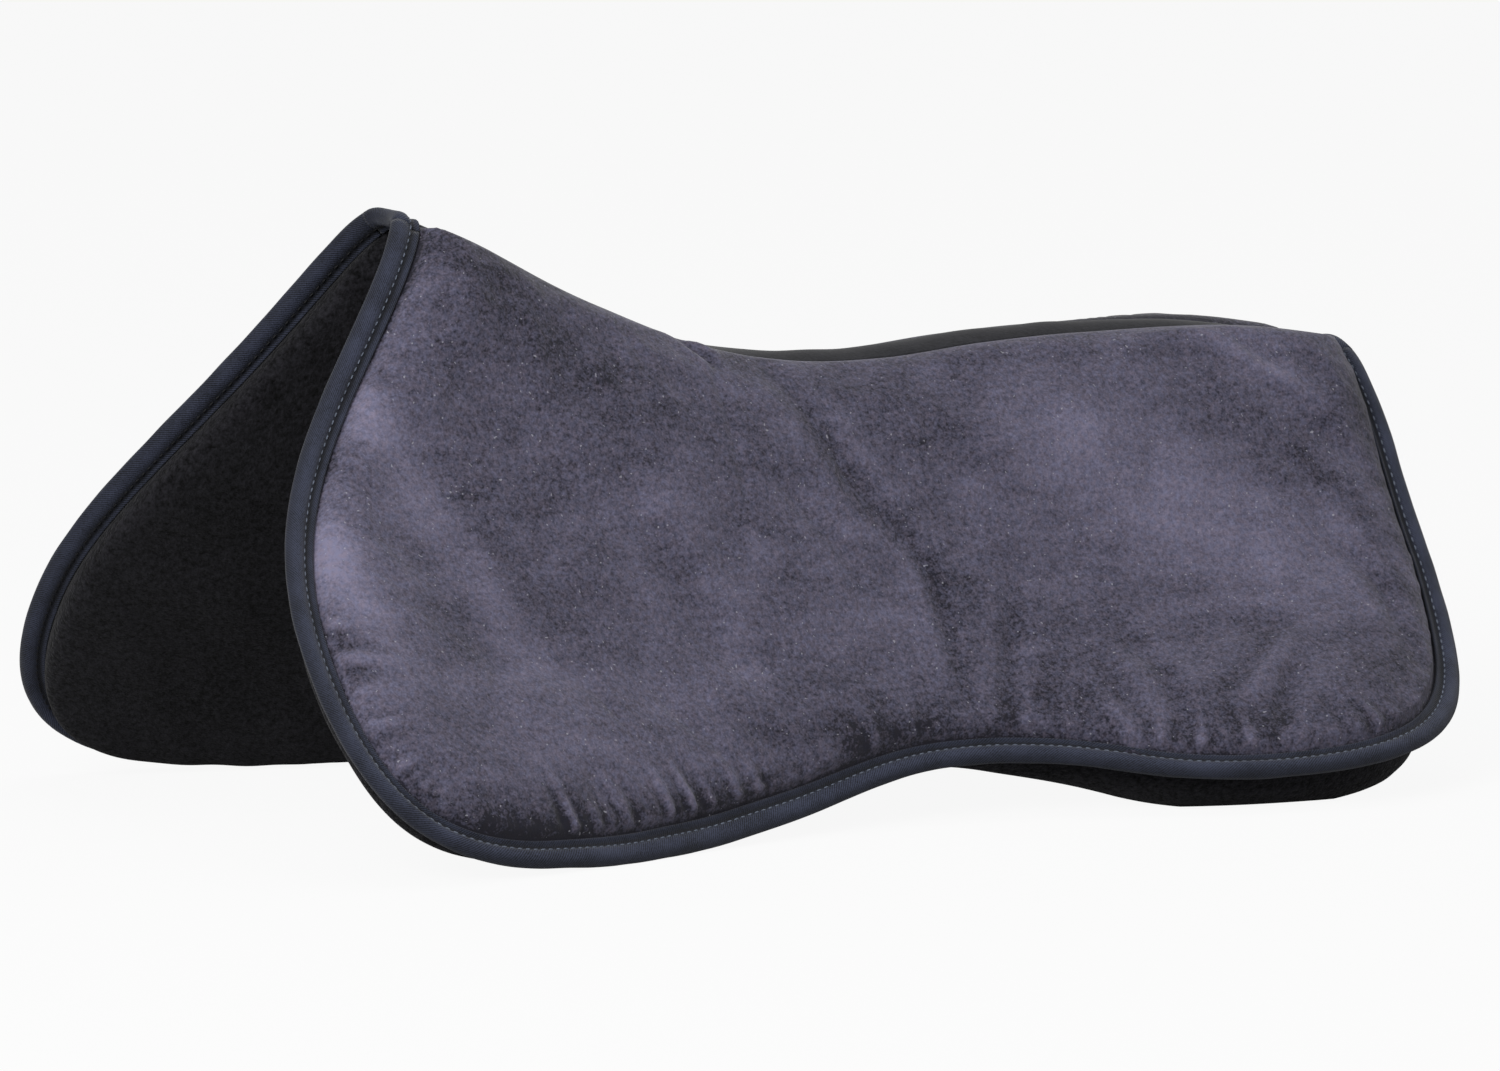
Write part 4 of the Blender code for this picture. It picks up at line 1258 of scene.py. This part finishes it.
    def make(self, name: str, line: Array, inward: Array, seed: int, flip: bool) -> Object:
        """A length of tape as an object with its UV map."""
        points, faces, run = self.body(line, inward, seed)
        if flip:
            points, faces = mirrored(points, faces)
        piece = make_mesh(name, points, faces)
        layer = piece.data.uv_layers.new(name="tape")
        corners = np.empty(len(piece.data.loops), dtype=np.int32)
        piece.data.loops.foreach_get("vertex_index", corners)
        layer.data.foreach_set("uv", run[corners].astype(np.float32).ravel())
        # Painted shade for the twill material to read.
        set_values(piece, "valley", np.tile(self.shade, len(line)))
        return piece

    def stitch_line(self, line: Array, inward: Array, face: Face) -> Array:
        """The line that the stitches on one face of the tape follow."""
        profile = self.UPPER if face is Face.OUTER else self.LOWER
        _, height = min(profile, key=lambda place: abs(place[0] - self.STITCH_INSET))
        rise = height / 1000 + face.value * self.STITCH_RISE
        points = self.pad.place(line + inward * self.STITCH_INSET, rise)
        points[:, 2] = np.maximum(points[:, 2], self.STITCH_LOWEST)
        return points


class StitchMaker:
    """Lays even stitches along lines, with one Geometry Nodes tree for all of them."""

    LEAN = 0.07

    def __init__(self, thread: Material, pitch: float, length: float, thickness: float) -> None:
        """Args: thread: the stitches' material. pitch, length, thickness: a stitch's sizes."""
        self.sizes = {"Pitch": pitch, "Stitch Length": length, "Thread Thickness": thickness}
        self.thread = thread
        self.tree = self._tree()

    def _tree(self) -> NodeTree:
        """The tree, with an input for each size."""
        sheet, start, end = new_group(
            "GeometryNodeTree", "lockstitch_row", {"Geometry": None, **self.sizes}, ("Geometry",))
        curve = sheet.add("GeometryNodeMeshToCurve", {"Mesh": start.outputs["Geometry"]})
        places = sheet.add("GeometryNodeCurveToPoints", {
            "Curve": curve.outputs[0], "Length": start.outputs["Pitch"]}, mode="LENGTH")
        grain = sheet.add("GeometryNodeMeshUVSphere", {"Segments": 8, "Rings": 6, "Radius": 0.5})
        thickness = start.outputs["Thread Thickness"]
        size = sheet.add("ShaderNodeCombineXYZ", {
            0: thickness, 1: thickness, 2: start.outputs["Stitch Length"]})
        vary = sheet.add("FunctionNodeRandomValue", {"Seed": 3}, data_type="FLOAT_VECTOR")
        for number, lean in enumerate((-self.LEAN, self.LEAN)):
            vary.inputs[number].default_value = (lean, lean, 0.0)
        turn = sheet.add("FunctionNodeEulerToRotation", {0: vary.outputs[0]})
        both = sheet.add("FunctionNodeRotateRotation", {
            0: places.outputs["Rotation"], 1: turn.outputs[0]}, rotation_space="LOCAL")
        laid = sheet.add("GeometryNodeInstanceOnPoints", {
            "Points": places.outputs["Points"], "Instance": grain.outputs["Mesh"],
            "Rotation": both.outputs[0], "Scale": size.outputs[0]})
        real = sheet.add("GeometryNodeRealizeInstances", {0: laid.outputs[0]})
        dressed = sheet.add("GeometryNodeSetMaterial", {0: real.outputs[0], "Material": self.thread})
        sheet.join(end, Geometry=dressed.outputs[0])
        return sheet.tree

    def row(self, name: str, line: Array) -> Object:
        """Stitches along a line in the row frame, as one plain mesh."""
        mesh = bpy.data.meshes.new(name + "_path")
        mesh.from_pydata(line.tolist(), [(k, k + 1) for k in range(len(line) - 1)], [])
        path = add_object(name + "_path", mesh)
        modifier = path.modifiers.new("stitches", "NODES")
        modifier.node_group = self.tree
        for socket in self.tree.interface.items_tree:
            if socket.in_out == "INPUT" and socket.name in self.sizes:
                modifier[socket.identifier] = self.sizes[socket.name]
        evaluated = path.evaluated_get(bpy.context.evaluated_depsgraph_get())
        made = add_object(name, bpy.data.meshes.new_from_object(evaluated))
        bpy.data.objects.remove(path, do_unlink=True)
        made.data.shade_smooth()
        if not made.data.materials:
            made.data.materials.append(self.thread)
        return made


class Binding:
    """The edge tape's four lengths with their stitches."""

    PITCH, STITCH, THREAD = 0.0040, 0.0024, 0.00078

    def __init__(self, pad: FoldedPad, outline: Outline, wardrobe: Wardrobe) -> None:
        """Args: pad: the pad's sizes. outline: the wing's edge. wardrobe: the materials."""
        self.pad = pad
        self.tape = EdgeTape(pad, outline)
        self.twill = wardrobe.twill
        self.stitches = {face: StitchMaker(thread, self.PITCH, self.STITCH, self.THREAD) for face, thread in (
            (Face.OUTER, wardrobe.thread), (Face.INNER, wardrobe.under_thread))}

    def _length(self, name: str, end: str, course: tuple[Array, Array], seed: int,
                flip: bool) -> list[Object]:
        """A length of tape and its two rows of stitches.

        Args:
            name: What the tape's name starts with.
            end: What the stitches' names end with.
            course: The flat line that it follows, with the line's inward directions.
            seed: Number that its unevenness comes from.
            flip: Whether it is mirrored to the left.

        Returns:
            The tape, then its rows.
        """
        tape = self.tape.make(f"{name}_binding{end}_soft", *course, seed, flip)
        tape.data.materials.append(self.twill)
        mirror = np.array([1.0, -1.0 if flip else 1.0, 1.0])
        rows = [maker.row(f"{name}_stitches_{face.name.lower()}{end}",
                          self.tape.stitch_line(*course, face) * mirror)
                for face, maker in self.stitches.items()]
        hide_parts(f"{name}_binding{end}")
        return [tape, *rows]

    def dress_wing(self, side: Side) -> list[Object]:
        """The tape round one wing, and its stitches."""
        made = self._length("edge", f"_{side.label}", self.tape.path(), 21, side is Side.LEFT)
        for piece in made:
            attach(piece, side.body)
        return made

    def dress_spine(self, front: bool) -> list[Object]:
        """The tape over the spine at one end, with its place baked into its mesh."""
        made = self._length("pommel" if front else "rear", "", self.tape.over_spine(front), 33, False)
        for piece in made:
            bend_over_spine(piece)
        return made


def bend_over_spine(piece: Object) -> None:
    """Bakes the place of a piece that crosses the spine into its mesh."""
    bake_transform(piece)


class Spine:
    """The plain strip between the wings, and its lining."""

    COLUMNS = 200
    ROWS = 21
    ALLOWANCE = (0.0137, 0.0162)
    ALLOWANCE_THICKNESS = 0.0001
    END_FADE = (0.014, 0.030)
    WAVE_HEIGHT, HOLLOW = 0.00007, 0.0002
    CURVED_LENGTH = 1.02
    FIRST_SEED = 41

    def __init__(self, pad: FoldedPad) -> None:
        """Args: pad: the pad's sizes."""
        self.pad = pad

    def grid(self, across: Array) -> tuple[Array, Array]:
        """Places in the flat cut from hem to hem, and the triangles between them.

        Args:
            across: Drops of the grid's rows.

        Returns:
            One place per corner, and the triangles.
        """
        pad, rows = self.pad, len(across)
        drop, share = np.meshgrid(across, np.linspace(0, 1, self.COLUMNS))
        front, rear = pad.pommel_end(drop) + pad.hem_inset, pad.rear[0] - pad.hem_inset
        plan = np.stack([(front + (rear - front) * share).ravel(), drop.ravel()], axis=1)
        a = (np.arange(self.COLUMNS - 1)[:, None] * rows + np.arange(rows - 1)).ravel()
        return plan, np.vstack([np.stack(corners, axis=1) for corners in (
            (a, a + rows + 1, a + 1), (a, a + rows, a + rows + 1))])

    def layer(self, plan: Array, faces: Array, rise: Array | float, thickness: float) -> Body:
        """Corners and faces of a closed layer.

        Args:
            plan: Places of its corners in the flat cut.
            faces: Its triangles.
            rise: Rise of the side that shows.
            thickness: Distance from there to its back, negative if the back is above.

        Returns:
            The corners and faces, facing out.
        """
        points, back = self.pad.place(plan, rise), self.pad.place(plan, rise - thickness)
        middle = len(plan) // 2
        if vertex_normals(points, faces)[middle] @ (points - back)[middle] < 0:
            faces = faces[:, ::-1]
        return closed_shell(points, faces, border_of(faces), back)

    def cloth(self, thickness: float, seed: int) -> Body:
        """A layer of the strip, above the hem or below it, with small waves that come from a seed."""
        pad = self.pad
        rng = np.random.default_rng(seed)
        face = math.copysign(pad.fit / 2, thickness) + thickness
        side = pad.strip_half - pad.fit / 2
        plan, faces = self.grid(np.linspace(-side, side, self.ROWS))
        middle = 1 - (plan[:, 1] / side) ** 2
        clear = smooth_step(plan[:, 0] - pad.pommel_x, *self.END_FADE) * smooth_step(
            pad.rear[0] - plan[:, 0], *self.END_FADE)
        waves = sum(np.sin(plan[:, 0] * FULL_TURN / rng.uniform(0.014, 0.06) + rng.uniform(0, 6.28)
                           + plan[:, 1] * rng.uniform(-120, 120)) for _ in range(9)) * self.WAVE_HEIGHT
        return self.layer(plan, faces, face + (waves - self.HOLLOW) * middle * clear, thickness)

    def allowances(self) -> list[Body]:
        """The strip's two seam allowances, which lie under the covers and close the seams to light."""
        return [self.layer(*self.grid(np.array(self.ALLOWANCE) * side), self.ALLOWANCE_THICKNESS / 2,
                           self.ALLOWANCE_THICKNESS) for side in (1.0, -1.0)]

    def dress(self, wardrobe: Wardrobe) -> list[Object]:
        """Makes both layers, with their places baked into their meshes."""
        pad = self.pad
        layers = (("spine_strip", pad.suede_thickness, wardrobe.strip, "strip_cloth"),
                  ("spine_lining", -pad.fleece_thickness, wardrobe.fleece, "fleece"))
        made = []
        for seed, (name, thickness, material, slot) in enumerate(layers, self.FIRST_SEED):
            body = self.cloth(thickness, seed)
            if name == "spine_strip":
                body = joined([body, *self.allowances()])
            piece = make_mesh(f"{name}_soft", *body)
            piece.data.materials.append(material)
            bend_over_spine(piece)
            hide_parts(name)
            made.append(piece)
        return made


class Studio:
    """Camera, pale floor and soft light."""

    TARGET = (-0.0416, -0.0590, 0.1191)
    AZIMUTH, ELEVATION, DISTANCE = -29.0, 7.12, 4.815
    LENS, SENSOR, CLIP_END = 270.0, 36.0, 60.0
    FLOOR_HALF, FLOOR_GLOW = 30.0, 0.92
    GREY = (0.50, 0.50, 0.50, 1.0)
    LIT = (0.0, 0.0, 0.12)
    WHITE = (1.0, 1.0, 1.0, 1.0)
    WORLD_LIGHT, WORLD_SEEN = 0.37, 1.0

    def camera(self) -> None:
        """The camera at the photograph's angle."""
        data = bpy.data.cameras.new("photo_camera")
        data.lens, data.sensor_width, data.clip_end = self.LENS, self.SENSOR, self.CLIP_END
        made = add_object("photo_camera", data)
        a, e = math.radians(self.AZIMUTH), math.radians(self.ELEVATION)
        back = Vector((math.sin(a) * math.cos(e), -math.cos(a) * math.cos(e), math.sin(e)))
        made.location = Vector(self.TARGET) + back * self.DISTANCE
        made.rotation_euler = back.to_track_quat("Z", "Y").to_euler()
        bpy.context.scene.camera = made

    def floor(self) -> None:
        """A pale floor that shows white to the camera and keeps a soft shadow."""
        corners = np.array([(-1, -1, 0), (1, -1, 0), (1, 1, 0), (-1, 1, 0)], float) * self.FLOOR_HALF
        made = make_mesh("floor", corners, [(0, 1, 2, 3)])
        material, sheet, shader = Finish("pale_floor", self.GREY, self.GREY, 1.0, shine=0.0).begin()
        glow = sheet.add("ShaderNodeEmission", {"Color": self.WHITE, "Strength": 1.0})
        seen = sheet.add("ShaderNodeLightPath").outputs["Is Camera Ray"]
        share = sheet.math("MULTIPLY", seen, self.FLOOR_GLOW)
        both = sheet.add("ShaderNodeMixShader", {0: share, 1: shader.outputs[0], 2: glow.outputs[0]})
        sheet.join(material.node_tree.nodes["Material Output"], Surface=both.outputs[0])
        made.data.materials.append(material)

    def lamp(self, name: str, place: tuple, size: float, power: float) -> None:
        """A square soft lamp that looks at the pad."""
        data = bpy.data.lights.new(name, "AREA")
        data.size, data.energy = size, power
        made = add_object(name, data)
        made.location = place
        made.rotation_euler = (Vector(place) - Vector(self.LIT)).to_track_quat("Z", "Y").to_euler()

    def light(self) -> None:
        """Three soft lamps and a white world."""
        self.lamp("key_lamp", (-2.2, -1.7, 1.6), 1.5, 92.0)
        self.lamp("fill_lamp", (1.2, -2.4, 1.0), 1.8, 8.0)
        self.lamp("top_lamp", (0.2, 0.2, 2.7), 1.8, 18.0)
        world = bpy.data.worlds.new("white_studio")
        world.use_nodes = True
        sheet = NodeSheet(world.node_tree)
        path = sheet.add("ShaderNodeLightPath")
        seen = sheet.math("MAXIMUM", path.outputs["Is Camera Ray"], path.outputs["Is Glossy Ray"])
        strength = sheet.math(
            "ADD", sheet.math("MULTIPLY", seen, self.WORLD_SEEN - self.WORLD_LIGHT), self.WORLD_LIGHT)
        background = world.node_tree.nodes["Background"]
        background.inputs["Color"].default_value = self.WHITE
        sheet.join(background, Strength=strength)
        bpy.context.scene.world = world
        bpy.context.scene.view_settings.view_transform = "Standard"


def main() -> None:
    """Builds the studio and the pad, piece by piece."""
    logging.basicConfig(level=logging.INFO, format="%(message)s")
    studio = Studio()
    studio.camera()
    pad = FoldedPad()
    wardrobe = Wardrobe()
    wing = Wing(pad, {Side.LEFT: NEAR_LOOK, Side.RIGHT: FAR_LOOK}, 0.0026, 0.0017)
    made = []
    for side in Side:
        made += wing.dress(side, wardrobe)
    binding = Binding(pad, wing.outline, wardrobe)
    for side in Side:
        made += binding.dress_wing(side)
    for front in (True, False):
        made += binding.dress_spine(front)
    made += Spine(pad).dress(wardrobe)
    for piece in made:
        LOG.info("%s: %d faces", piece.name, len(piece.data.polygons))
    studio.floor()
    studio.light()


if __name__ == "__main__":
    main()
